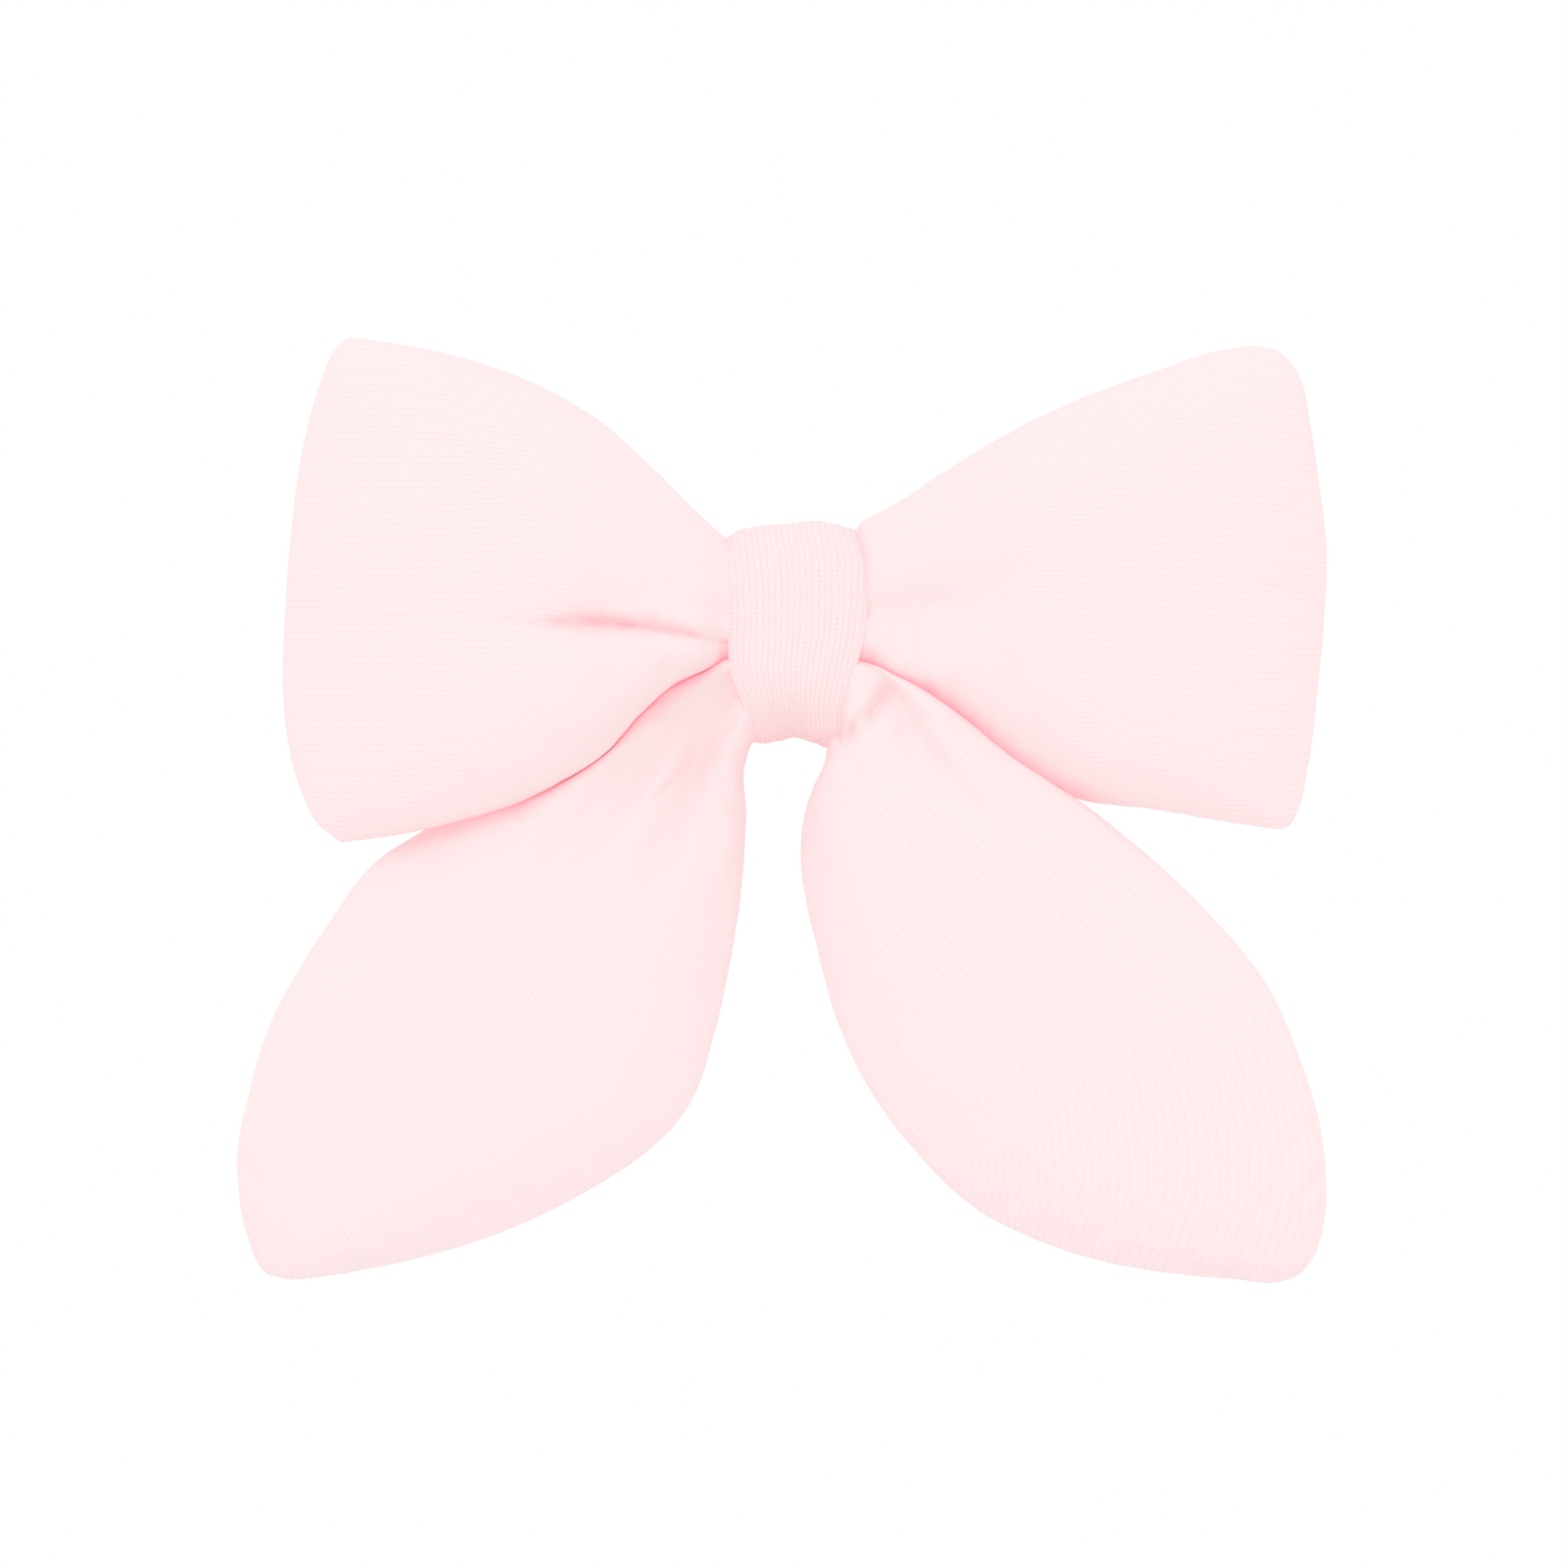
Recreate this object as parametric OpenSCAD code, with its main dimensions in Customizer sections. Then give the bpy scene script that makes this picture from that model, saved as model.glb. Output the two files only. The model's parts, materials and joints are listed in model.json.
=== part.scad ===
// Padded jersey hair bow on an alligator clip, worn upright.
// X runs to the wearer's left, Z up, and the bow faces -Y.
// The origin lies between the clip's closed jaws, behind the knot.

/* [Loops] */
// Reach of the left loop's outer edge from the knot's middle
left_reach = 57; // [52:1:60]
// Reach of the right loop's outer edge from the knot's middle
right_reach = 59; // [54:1:62]
// Height of the loops' upper corners above the knot's middle
upper_corner = 33; // [29:1:36]
// Depth of the loops' lower corners below the knot's middle
lower_corner = 22.5; // [20:0.5:25]
// Puff of a loop's front over its seam
loop_puff = 7.6; // [5:0.2:9]
// Puff of a loop's back behind its seam
loop_back = 4.2; // [3:0.1:4.4]

/* [Tails] */
// Drop of the tails' tips below the knot's middle
tail_drop = 71; // [64:1:78]
// Puff of a tail's front over its seam
tail_puff = 4.8; // [3:0.2:6]
// Puff of a tail's back behind its seam
tail_back = 3.6; // [2.5:0.1:4]

/* [Knot] */
// Width of the centre wrap where it is widest
knot_w = 15; // [14:0.5:16]
// Height of the centre wrap
knot_h = 26; // [25.5:0.1:27]
// Thickness of the doubled jersey of the centre wrap
wrap_t = 1.2; // [0.8:0.1:1.2]

/* [Fabric] */
// Thickness of one layer of jersey
jersey_t = 0.6; // [0.4:0.05:0.7]
// Thickness of the gathering thread's turns
thread_t = 0.4; // [0.3:0.05:0.4]

/* [Clip] */
// Length of the clip from the jaws' tip to the levers' ends
clip_l = 60; // [56:1:64]
// Width of the ribbon-covered arm
arm_w = 10; // [9:0.5:10]
// Thickness of the clip's sheet steel
steel_t = 0.8; // [0.6:0.1:0.8]
// Radius of the hinge pin
pin_r = 0.8; // [0.7:0.05:0.8]
// Thickness of the spring's wire
wire_t = 0.6; // [0.5:0.05:0.6]
// Number of teeth on each side of the jaw
tooth_count = 8; // [5:1:9]
// Thickness of the grosgrain ribbon
ribbon_t = 0.35; // [0.25:0.05:0.35]

/* [Hidden] */
$fn = 48;

// Depths are measured from the jaws' plane towards the front, so y = -depth
seam_depth = 8.2;                       // where the gathered waists' seams lie
waist_puff = 4.4;                       // half the depth of a gathered waist
seam_gap = 0.1;                         // between the front and back panels
pad_gap = 0.3;                          // least gap between a pad and its panels
pad_fill = 0.82;                        // share of the panels' puff that the wadding fills
waist_top = 10.9;                       // top of the loops' gathered waist
waist_mid = -2.0;                       // where the loops' waist meets the tails'
waist_low = -11.5;                      // bottom of the tails' gathered waist
steps = 10;
edge_steps = [for (i = [0:steps]) (1 - cos(180 * i / steps)) / 2];  // waist to tip, close at both ends
width_steps = [for (j = [0:8]) -cos(22.5 * j)];         // lower seam to upper seam

// One side of a pillow is: lower edge, upper edge, bulge of its outer end, then the depths
// that its lower and upper seams shift by, then its front and back puff.
loop_left = [
    [[-8.6, waist_mid], [-16, -6], [-22, -20], [6 - left_reach, -lower_corner]],
    [[-8.6, waist_top], [-19, 25], [-33, upper_corner - 1.5], [7 - left_reach, upper_corner]],
    [-6.4, 0], 3.6, 0, loop_puff, loop_back];
loop_right = [
    [[7.8, waist_mid], [15, -7], [22, -20], [right_reach - 4, 1 - lower_corner]],
    [[7.8, waist_top], [20, 22.5], [36, upper_corner - 3], [right_reach - 6, upper_corner - 1]],
    [5, 0], -1.6, 0.4, loop_puff, loop_back - 0.6];
tail_left = [
    [[-6, waist_low], [-4.5, -48], [-9, 6 - tail_drop], [-52.5, -tail_drop]],
    [[-7, waist_mid - 0.6], [-38, -7], [-69.5, -40], [-60.6, 3 - tail_drop]],
    [-1, -1], -2.4, -4.3, tail_puff - 1, tail_back - 0.4];
tail_right = [
    [[5, waist_low], [-6, -32], [3, -tail_drop], [50, -tail_drop - 0.4]],
    [[6, waist_mid - 0.6], [30, -12], [64, -38], [58, 4 - tail_drop]],
    [1, -0.6], -0.8, 5.8, tail_puff, tail_back];

pin_x = 15;                             // hinge pin's place along the clip
pin_y = 0.4;
hole_r = pin_r + 0.05;
tip_x = pin_x + 13 - clip_l;            // tip of the ribbon-covered arm
arm_y = -2.2;                           // front face of the arm
jaw_y = 0.6;                            // inner face of the jaw
jaw_w = arm_w - 2;
lever_y = pin_y + 1.8;                  // inner face of the jaw over the spring
lever_angle = 25;
lever_l = 15;
ear_gap = 0.2;                          // between the arm's ears and the jaw's
coil_r = 1.3;                           // middle of the spring's wire
coil_turns = 5;
leg_l = 8.5;
tooth_pitch = 2.3;
tooth_h = 1.3;

function lerp(a, b, t) = a + (b - a) * t;
function ease(t) = let (s = min(max(t, 0), 1)) s * s * (3 - 2 * s);
function bezier(p, t) = let (s = 1 - t)
    s * s * s * p[0] + 3 * s * s * t * p[1] + 3 * s * t * t * p[2] + t * t * t * p[3];

// The seam plane's depth, and how far a pillow is full there, from 0 at its edge to 1
function seam_at(side, t, v) =
    seam_depth + ease(t / 0.16) * lerp(side[3], side[4], (v + 1) / 2) * (1 - 0.75 * t * t);
function fullness(t, v) = sqrt(1 - pow(abs(v), 2.4)) * sqrt(1 - pow(t, 5));
function puff_at(side, t, k) = lerp(waist_puff, side[k], ease(t / 0.35));
function spot(side, t, v) =
    lerp(bezier(side[0], t), bezier(side[1], t), (v + 1) / 2)
    + side[2] * pow(t, 3) * (1 - pow(abs(v), 3));

// A point on the front (k = 5) or back (k = 6) of a pillow, moved outwards by off
function skin(side, t, v, k, off, fill = 1) = let (
        xz = spot(side, t, v),
        out = off + fill * puff_at(side, t, k) * fullness(t, v),
        depth = seam_at(side, t, v) + (k == 5 ? out : -out))
    [xz.x, -depth, xz.y];
function skin_row(side, t, k, off, span = 1, fill = 1) =
    [for (v = width_steps) skin(side, t, v * span, k, off, fill)];

// A whole panel runs from the left tip through the waist to the right tip
function panel_rows(left, right, k, off) = concat(
    [for (i = [steps:-1:0]) skin_row(left, edge_steps[i], k, off)],
    [for (t = edge_steps) skin_row(right, t, k, off)]);
function pad_rows(side, k) =
    [for (t = edge_steps) skin_row(side, lerp(0.1, 0.95, t), k, -pad_gap, 0.88, pad_fill)];

// A closed solid between two grids of points; the first grid faces the front
module slab(front, back) {
    rows = len(front);
    cols = len(front[0]);
    function at(k, i, j) = (k * rows + i) * cols + j;
    points = [for (g = [front, back]) for (row = g) for (p = row) p];
    faces = concat(
        [for (i = [0:rows - 2]) for (j = [0:cols - 2]) for (f = [
            [at(0, i, j), at(0, i, j + 1), at(0, i + 1, j + 1)],
            [at(0, i, j), at(0, i + 1, j + 1), at(0, i + 1, j)],
            [at(1, i, j), at(1, i + 1, j + 1), at(1, i, j + 1)],
            [at(1, i, j), at(1, i + 1, j), at(1, i + 1, j + 1)]]) f],
        [for (i = [0:rows - 2]) for (f = [
            [at(0, i, 0), at(0, i + 1, 0), at(1, i + 1, 0)],
            [at(0, i, 0), at(1, i + 1, 0), at(1, i, 0)],
            [at(0, i, cols - 1), at(1, i + 1, cols - 1), at(0, i + 1, cols - 1)],
            [at(0, i, cols - 1), at(1, i, cols - 1), at(1, i + 1, cols - 1)]]) f],
        [for (j = [0:cols - 2]) for (f = [
            [at(0, 0, j), at(1, 0, j + 1), at(0, 0, j + 1)],
            [at(0, 0, j), at(1, 0, j), at(1, 0, j + 1)],
            [at(0, rows - 1, j), at(0, rows - 1, j + 1), at(1, rows - 1, j + 1)],
            [at(0, rows - 1, j), at(1, rows - 1, j + 1), at(1, rows - 1, j)]]) f]);
    polyhedron(points, faces);
}

module front_panel(left, right) {
    slab(panel_rows(left, right, 5, jersey_t + seam_gap / 2),
         panel_rows(left, right, 5, seam_gap / 2));
}

module back_panel(left, right) {
    slab(panel_rows(left, right, 6, seam_gap / 2),
         panel_rows(left, right, 6, jersey_t + seam_gap / 2));
}

// The left side's rows run the other way, so that its faces point outwards
module pad(side, flip) {
    turn = function (rows) flip ? [for (i = [len(rows) - 1:-1:0]) rows[i]] : rows;
    slab(turn(pad_rows(side, 5)), turn(pad_rows(side, 6)));
}

// A rectangle with round corners, from its low corner to its high corner
module round_rect(low, high, r) {
    translate(low + [r, 0]) square(high - low - [2 * r, 0]);
    translate(low + [0, r]) square(high - low - [0, 2 * r]);
    for (x = [low.x + r, high.x - r], y = [low.y + r, high.y - r])
        translate([x, y]) circle(r);
}

// A flat ring round the waist: the outline is drawn in Y and Z and runs along X
module ring(low, high, t, r, x, w) {
    translate([x, 0, 0]) rotate([90, 0, 90]) linear_extrude(w, center = true) difference() {
        round_rect(low, high, r);
        round_rect(low + [t, t], high - [t, t], r - t);
    }
}

module loop_front_panel() { color("mistyrose") front_panel(loop_left, loop_right); }
module loop_back_panel() { color("mistyrose") back_panel(loop_left, loop_right); }
module loop_pad_left() { color("white") pad(loop_left, true); }
module loop_pad_right() { color("white") pad(loop_right, false); }
module tail_front_panel() { color("mistyrose") front_panel(tail_left, tail_right); }
module tail_back_panel() { color("mistyrose") back_panel(tail_left, tail_right); }
module tail_pad_left() { color("white") pad(tail_left, true); }
module tail_pad_right() { color("white") pad(tail_right, false); }

// Three turns of strong thread pull both waists together
module gather_thread() {
    reach = waist_puff + jersey_t + 0.15;
    color("pink") for (x = [-1.2, 0, 1.2])
        ring([-seam_depth - reach - thread_t, waist_low - 0.1 - thread_t],
             [-seam_depth + reach + thread_t, waist_top + 0.1 + thread_t],
             thread_t, 3.5, x, 0.5);
}

// The knot: a doubled band round both waists and the clip's arm, narrower at its foot
module centre_wrap() {
    half = knot_w / 2;
    color("mistyrose") intersection() {
        ring([-15.4, -0.3 - knot_h / 2], [0.3, knot_h / 2 - 0.3], wrap_t, 5, 0, 2 * knot_w);
        rotate([90, 0, 0]) linear_extrude(60, center = true)
            polygon([[-half - 0.9, knot_h], [-half + 0.1, 1.5], [-5.1, -knot_h / 2],
                     [-5.1, -knot_h], [3.6, -knot_h], [3.6, -knot_h / 2],
                     [5.2, -10.5], [half + 0.1, 3.5], [6.3, knot_h]]);
    }
}

// Hand stitches close the wrap's end on its back strand, below the jaw
module wrap_stitches() {
    color("pink") for (x = [-3.6:1.8:3.6])
        translate([x, 0.55, -8.2]) rotate([0, 12, 0]) {
            cylinder(h = 1.8, r = 0.2, center = true);
            for (z = [-0.9, 0.9]) translate([0, 0, z]) sphere(0.2);
        }
}

// Two dabs of hot-melt glue between the ribbon-covered arm and the bow, beside the thread
module glue_pad() {
    color("ivory") for (x = [-7, 2.4])
        translate([x, arm_y - 0.45, 0]) rotate([90, 0, 0])
            linear_extrude(0.35) round_rect([0, -4.4], [4.6, 4.4], 1.5);
}

// Two ears on the pin, at distance z from the clip's middle line
module ears(r, foot_y, z, t) {
    for (side = [0, 1]) mirror([0, 0, side]) translate([0, 0, z]) linear_extrude(t) {
        translate([pin_x, pin_y]) circle(r);
        translate([pin_x - r, min(foot_y, pin_y)]) square([2 * r, abs(foot_y - pin_y)]);
    }
}

module pin_hole() {
    translate([pin_x, pin_y, 0]) cylinder(h = 2 * arm_w, r = hole_r, center = true);
}

module clip_upper_arm() {
    color("silver") difference() {
        union() {
            translate([0, arm_y + steel_t, 0]) rotate([90, 0, 0]) linear_extrude(steel_t)
                round_rect([tip_x, -arm_w / 2], [tip_x + clip_l, arm_w / 2], 2.5);
            ears(1.9, arm_y + steel_t / 2, arm_w / 2 - steel_t, steel_t);
        }
        pin_hole();
    }
}

// One length of ribbon lies along the arm's front, round its tip and back to the ears
module arm_ribbon() {
    gap = 0.05;
    outer = arm_y - gap;
    inner = arm_y + steel_t + gap;
    end = tip_x - gap;
    color("lightpink") linear_extrude(arm_w, center = true) {
        translate([end - ribbon_t, outer - ribbon_t]) square([clip_l - 1.5, ribbon_t]);
        translate([end - ribbon_t, outer - ribbon_t])
            square([ribbon_t, inner - outer + 2 * ribbon_t]);
        translate([end - ribbon_t, inner]) square([pin_x - 5 - end, ribbon_t]);
    }
}

// The jaw's side view: flat grip, ramp over the spring, then the lever
module jaw_profile() {
    grip = tip_x + 1;
    ramp = pin_x - 2.6;
    bend = pin_x - 0.4;
    end = [bend + lever_l * cos(lever_angle), lever_y + lever_l * sin(lever_angle)];
    rise = [-steel_t * sin(lever_angle), steel_t * cos(lever_angle)];
    polygon([[grip, jaw_y - tooth_h], [grip + steel_t, jaw_y - tooth_h],
             [grip + steel_t, jaw_y], [ramp - 4.5, jaw_y], [ramp, lever_y],
             [bend, lever_y], end, end + rise, [bend - 0.2, lever_y + steel_t],
             [ramp - 0.3, lever_y + steel_t], [ramp - 4.8, jaw_y + steel_t],
             [grip, jaw_y + steel_t]]);
}

module tooth_strip() {
    start = tip_x + 2.4;
    linear_extrude(steel_t) {
        for (i = [0:tooth_count - 1])
            polygon([[start + i * tooth_pitch, jaw_y + 0.1],
                     [start + (i + 0.5) * tooth_pitch, jaw_y - tooth_h],
                     [start + (i + 1) * tooth_pitch, jaw_y + 0.1]]);
    }
}

module clip_lower_jaw() {
    color("silver") difference() {
        union() {
            intersection() {
                linear_extrude(jaw_w, center = true) jaw_profile();
                rotate([90, 0, 0]) linear_extrude(60, center = true)
                    round_rect([tip_x + 1, -jaw_w / 2], [pin_x + 13, jaw_w / 2], 2);
            }
            for (z = [-jaw_w / 2, jaw_w / 2 - steel_t]) translate([0, 0, z]) tooth_strip();
            ears(1.6, lever_y + steel_t / 2, jaw_w / 2 - steel_t - ear_gap, steel_t);
        }
        pin_hole();
    }
}

// The pin's two heads stand outside the arm's ears
module clip_pin() {
    half = arm_w / 2 + 0.1;
    color("silver") translate([pin_x, pin_y, 0]) {
        cylinder(h = 2 * half, r = pin_r, center = true);
        for (side = [0, 1]) mirror([0, 0, side]) translate([0, 0, half])
            cylinder(h = 0.5, r = pin_r + 0.5);
    }
}

// Wire of the torsion spring: straight leg on the arm, coil, straight leg on the lever
function coil_point(a, z) = [pin_x + coil_r * cos(a), pin_y + coil_r * sin(a), z];
module clip_spring() {
    sides = 6;
    turn_steps = 15;
    start = -90;
    sweep = 360 * coil_turns - 180 + lever_angle;
    count = floor(sweep / 360 * turn_steps);
    half = coil_turns * (wire_t + 0.1) / 2;
    first = coil_point(start, -half);
    last = coil_point(start - sweep, half);
    route = concat(
        [first + [leg_l, 0, 0], first + [0.4, 0, 0]],
        [for (i = [0:count]) coil_point(start - sweep * i / count, lerp(-half, half, i / count))],
        [last + 0.4 * [cos(lever_angle), sin(lever_angle), 0],
         last + leg_l * [cos(lever_angle), sin(lever_angle), 0]]);
    top = len(route) - 1;
    function along(i) = let (d = route[min(i + 1, top)] - route[max(i - 1, 0)]) d / norm(d);
    function across(i) = let (d = cross(along(i), [0, 0, 1])) d / norm(d);
    points = [for (i = [0:top]) for (s = [0:sides - 1])
        let (a = 360 * s / sides, n = across(i), b = cross(along(i), n))
        route[i] + wire_t / 2 * (cos(a) * n + sin(a) * b)];
    tube = [for (i = [0:top - 1]) for (s = [0:sides - 1]) let (n = (s + 1) % sides)
        [i * sides + s, i * sides + n, (i + 1) * sides + n, (i + 1) * sides + s]];
    color("gainsboro") polyhedron(points, concat(tube,
        [[for (s = [sides - 1:-1:0]) s], [for (s = [0:sides - 1]) top * sides + s]]));
}

loop_front_panel();
loop_back_panel();
loop_pad_left();
loop_pad_right();
tail_front_panel();
tail_back_panel();
tail_pad_left();
tail_pad_right();
gather_thread();
centre_wrap();
wrap_stitches();
glue_pad();
clip_upper_arm();
arm_ribbon();
clip_lower_jaw();
clip_pin();
clip_spring();
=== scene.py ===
# Padded jersey hair bow on an alligator clip: fabric, wadding, thread, ribbon and steel
import json
import bpy
import numpy as np
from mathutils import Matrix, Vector
from mathutils.bvhtree import BVHTree


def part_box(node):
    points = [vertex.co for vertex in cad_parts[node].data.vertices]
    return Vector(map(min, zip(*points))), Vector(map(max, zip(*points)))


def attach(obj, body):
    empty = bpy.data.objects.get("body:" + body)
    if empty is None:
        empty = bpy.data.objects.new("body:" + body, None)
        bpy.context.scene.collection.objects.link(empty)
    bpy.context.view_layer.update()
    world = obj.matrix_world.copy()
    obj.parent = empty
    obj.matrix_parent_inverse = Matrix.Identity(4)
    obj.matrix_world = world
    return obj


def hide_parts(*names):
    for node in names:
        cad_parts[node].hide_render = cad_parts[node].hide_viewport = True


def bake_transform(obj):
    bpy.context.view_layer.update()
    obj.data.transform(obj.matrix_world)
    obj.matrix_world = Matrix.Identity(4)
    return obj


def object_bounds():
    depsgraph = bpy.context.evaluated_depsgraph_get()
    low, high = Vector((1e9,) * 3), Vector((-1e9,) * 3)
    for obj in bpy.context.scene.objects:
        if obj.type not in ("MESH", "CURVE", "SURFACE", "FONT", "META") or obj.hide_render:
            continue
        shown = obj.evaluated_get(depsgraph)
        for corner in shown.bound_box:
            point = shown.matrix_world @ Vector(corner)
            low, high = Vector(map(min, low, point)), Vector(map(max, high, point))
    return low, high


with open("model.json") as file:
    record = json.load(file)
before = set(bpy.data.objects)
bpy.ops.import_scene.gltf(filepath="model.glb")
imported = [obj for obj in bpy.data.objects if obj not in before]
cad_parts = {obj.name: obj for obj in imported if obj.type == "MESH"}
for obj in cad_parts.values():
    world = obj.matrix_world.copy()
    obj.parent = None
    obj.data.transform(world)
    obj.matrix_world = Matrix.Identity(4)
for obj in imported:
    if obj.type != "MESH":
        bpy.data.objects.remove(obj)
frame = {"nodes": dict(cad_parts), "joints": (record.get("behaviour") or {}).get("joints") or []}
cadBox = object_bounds()
mm = 0.001
scene = bpy.context.scene
hinge = np.array(frame["joints"][0]["pos_m"]) / mm


# Small tools

def toLinear(hexColour):  # sRGB hex to the linear values that shaders take
    parts = [int(hexColour[i:i + 2], 16) / 255 for i in (1, 3, 5)]
    return [c / 12.92 if c <= 0.04045 else ((c + 0.055) / 1.055) ** 2.4 for c in parts] + [1.0]


def addNode(tree, kind, inputs={}, **settings):  # a node given as an input is linked by its first output
    node = tree.nodes.new("ShaderNode" + kind)
    for name, value in settings.items():
        setattr(node, name, value)
    for name, value in inputs.items():
        if isinstance(value, bpy.types.Node):
            value = value.outputs[0]
        if isinstance(value, bpy.types.NodeSocket):
            tree.links.new(value, node.inputs[name])
        else:
            node.inputs[name].default_value = value
    return node


def newMaterial(name):
    material = bpy.data.materials.new(name)
    material.use_nodes = True
    material.node_tree.nodes.clear()
    return material, material.node_tree


def setMaterial(piece, material):
    piece.data.materials.clear()
    piece.data.materials.append(material)


def ease(t):
    s = np.clip(t, 0, 1)
    return s * s * (3 - 2 * s)


def mix(a, b, share):
    return a + (b - a) * share


def spread(count, bunch):  # fractions from 0 to 1, closer together at both ends
    k = np.linspace(0, 1, count)
    return mix(k, (1 - np.cos(np.pi * k)) / 2, bunch)


def smoothLine(points, fractions):  # a smooth line through the points, measured along it from 0 to 1
    p = np.array(points, float)
    step = np.linalg.norm(np.diff(p, axis=0), axis=1)
    at = np.concatenate([[0], np.cumsum(step)])
    slope = np.diff(p, axis=0) / step[:, None]
    inner = (slope[:-1] * step[1:, None] + slope[1:] * step[:-1, None]) / (step[1:] + step[:-1])[:, None]
    tangent = np.vstack([slope[:1], inner, slope[-1:]])
    where = np.asarray(fractions) * at[-1]
    k = np.clip(np.searchsorted(at, where, side="right") - 1, 0, len(step) - 1)
    h = ((where - at[k]) / step[k])[..., None]
    reach = step[k][..., None]
    return ((2 * h**3 - 3 * h**2 + 1) * p[k] + (h**3 - 2 * h**2 + h) * reach * tangent[k]
            + (3 * h**2 - 2 * h**3) * p[k + 1] + (h**3 - h**2) * reach * tangent[k + 1])


def nearestOn(line, xz):  # distance to a line of points, place along it from 0 to 1, +1 on its left side
    a, b = line[:-1], line[1:]
    ab = b - a
    best = np.full(xz.shape[:-1], 1e9)
    place = np.zeros_like(best)
    side = np.ones_like(best)
    for k in range(len(a)):
        along = np.clip(((xz - a[k]) @ ab[k]) / (ab[k] @ ab[k]), 0, 1)
        gap = xz - (a[k] + along[..., None] * ab[k])
        distance = np.hypot(gap[..., 0], gap[..., 1])
        closer = distance < best
        best = np.where(closer, distance, best)
        place = np.where(closer, (k + along) / len(a), place)
        side = np.where(closer, np.sign(ab[k][0] * gap[..., 1] - ab[k][1] * gap[..., 0]), side)
    return best, place, side


def scaleFor(size, turnsPerUnit=1):  # texture scale of a pattern that repeats every so many mm
    return 1 / (size * turnsPerUnit * mm)


def addPiece(name, mesh, material):
    mesh.shade_smooth()
    piece = bpy.data.objects.new(name, mesh)
    scene.collection.objects.link(piece)
    setMaterial(piece, material)
    return piece


def fitToBow(piece, slot, *cadNodes):  # moves with the bow and stands for the CAD nodes of the same place
    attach(piece, "bow")
    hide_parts(*cadNodes)


def makePiece(name, points, faces, material, uvs=None):  # points in mm, as x, y, z
    mesh = bpy.data.meshes.new(name)
    mesh.from_pydata((np.asarray(points) * mm).tolist(), [], np.asarray(faces).tolist())
    if uvs is not None:
        layer = mesh.uv_layers.new(name="stitches")
        layer.data.foreach_set("uv", np.asarray(uvs, np.float32).ravel())
    return addPiece(name, mesh, material)


def applyModifiers(piece):
    evaluated = piece.evaluated_get(bpy.context.evaluated_depsgraph_get())
    piece.data = bpy.data.meshes.new_from_object(evaluated)
    piece.modifiers.clear()


# Camera, lights and floor

view = {
    "lens": 120,  # mm
    "sensor": 36,  # mm across
    "fieldWidth": 173.9,  # mm seen across at the seams' depth
    "lift": 2.9,  # mm from the box's middle up to the middle of the view
    "seamDepth": 8.2,  # mm from the jaws' plane to the seams, and to what the camera frames
    "floorDrop": 50,  # mm from the bow's lowest point to the floor
}
boxMiddle = (cadBox[0] + cadBox[1]) / 2
cameraData = bpy.data.cameras.new("portraitLens")
cameraData.lens = view["lens"]
cameraData.sensor_width = view["sensor"]
camera = bpy.data.objects.new("camera", cameraData)
away = view["fieldWidth"] * view["lens"] / view["sensor"]
camera.location = (boxMiddle.x, -(view["seamDepth"] + away) * mm, boxMiddle.z + view["lift"] * mm)
camera.rotation_euler = (np.pi / 2, 0, 0)
cameraData.clip_start = 0.01
scene.collection.objects.link(camera)
scene.camera = camera

lights = {
    "skyStrength": 1.0,  # an even white tent of light all round
    "key": {"at": (-0.35, -0.75, 0.65), "size": 0.6, "watts": 0.9},
    "fill": {"at": (0.6, -0.6, 0.1), "size": 0.8, "watts": 0.2},
}
world = bpy.data.worlds.new("whiteTent")
world.use_nodes = True
scene.world = world
world.node_tree.nodes["Background"].inputs["Color"].default_value = (1, 1, 1, 1)
world.node_tree.nodes["Background"].inputs["Strength"].default_value = lights["skyStrength"]
for name in ("key", "fill"):
    lampData = bpy.data.lights.new(name, "AREA")
    lampData.size = lights[name]["size"]
    lampData.energy = lights[name]["watts"]
    lamp = bpy.data.objects.new(name, lampData)
    lamp.location = lights[name]["at"]
    lamp.rotation_euler = (-Vector(lights[name]["at"])).to_track_quat("-Z", "Y").to_euler()
    scene.collection.objects.link(lamp)
scene.view_settings.view_transform = "Standard"

# Painted board, matt and nearly white, with a faint cloudiness from the roller
floorPaint, tree = newMaterial("mattPaintedBoard")
speckle = addNode(tree, "TexNoise", {"Scale": scaleFor(11.1), "Detail": 3.0})
tint = addNode(tree, "MixRGB", {"Fac": speckle, "Color1": toLinear("#f7f6f5"),
                                "Color2": toLinear("#fbfafa")})
shader = addNode(tree, "BsdfPrincipled", {"Base Color": tint, "Roughness": 0.85})
addNode(tree, "OutputMaterial", {"Surface": shader})
board = {"corners": 96, "radius": 85.0, "thickness": 4.0, "edge": 0.8}  # a round board, sizes in mm
floorTop = cadBox[0].z / mm - view["floorDrop"]
ringCount = board["corners"]
angles = np.linspace(0, 2 * np.pi, ringCount, endpoint=False)
floorPoints = []
for inset, drop in ((board["edge"], 0), (0, board["edge"]), (0, board["thickness"])):
    radius = board["radius"] - inset
    floorPoints += [(radius * np.cos(a), radius * np.sin(a), floorTop - drop) for a in angles]
floorFaces = [[r * ringCount + k, (r + 1) * ringCount + k, (r + 1) * ringCount + (k + 1) % ringCount,
               r * ringCount + (k + 1) % ringCount] for r in range(2) for k in range(ringCount)]
floorMesh = bpy.data.meshes.new("floor")
floorFaces += [list(range(ringCount)), list(range(3 * ringCount - 1, 2 * ringCount - 1, -1))]
floorMesh.from_pydata((np.array(floorPoints) * mm).tolist(), [], floorFaces)
floor = bpy.data.objects.new("floor", floorMesh)
scene.collection.objects.link(floor)
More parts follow.
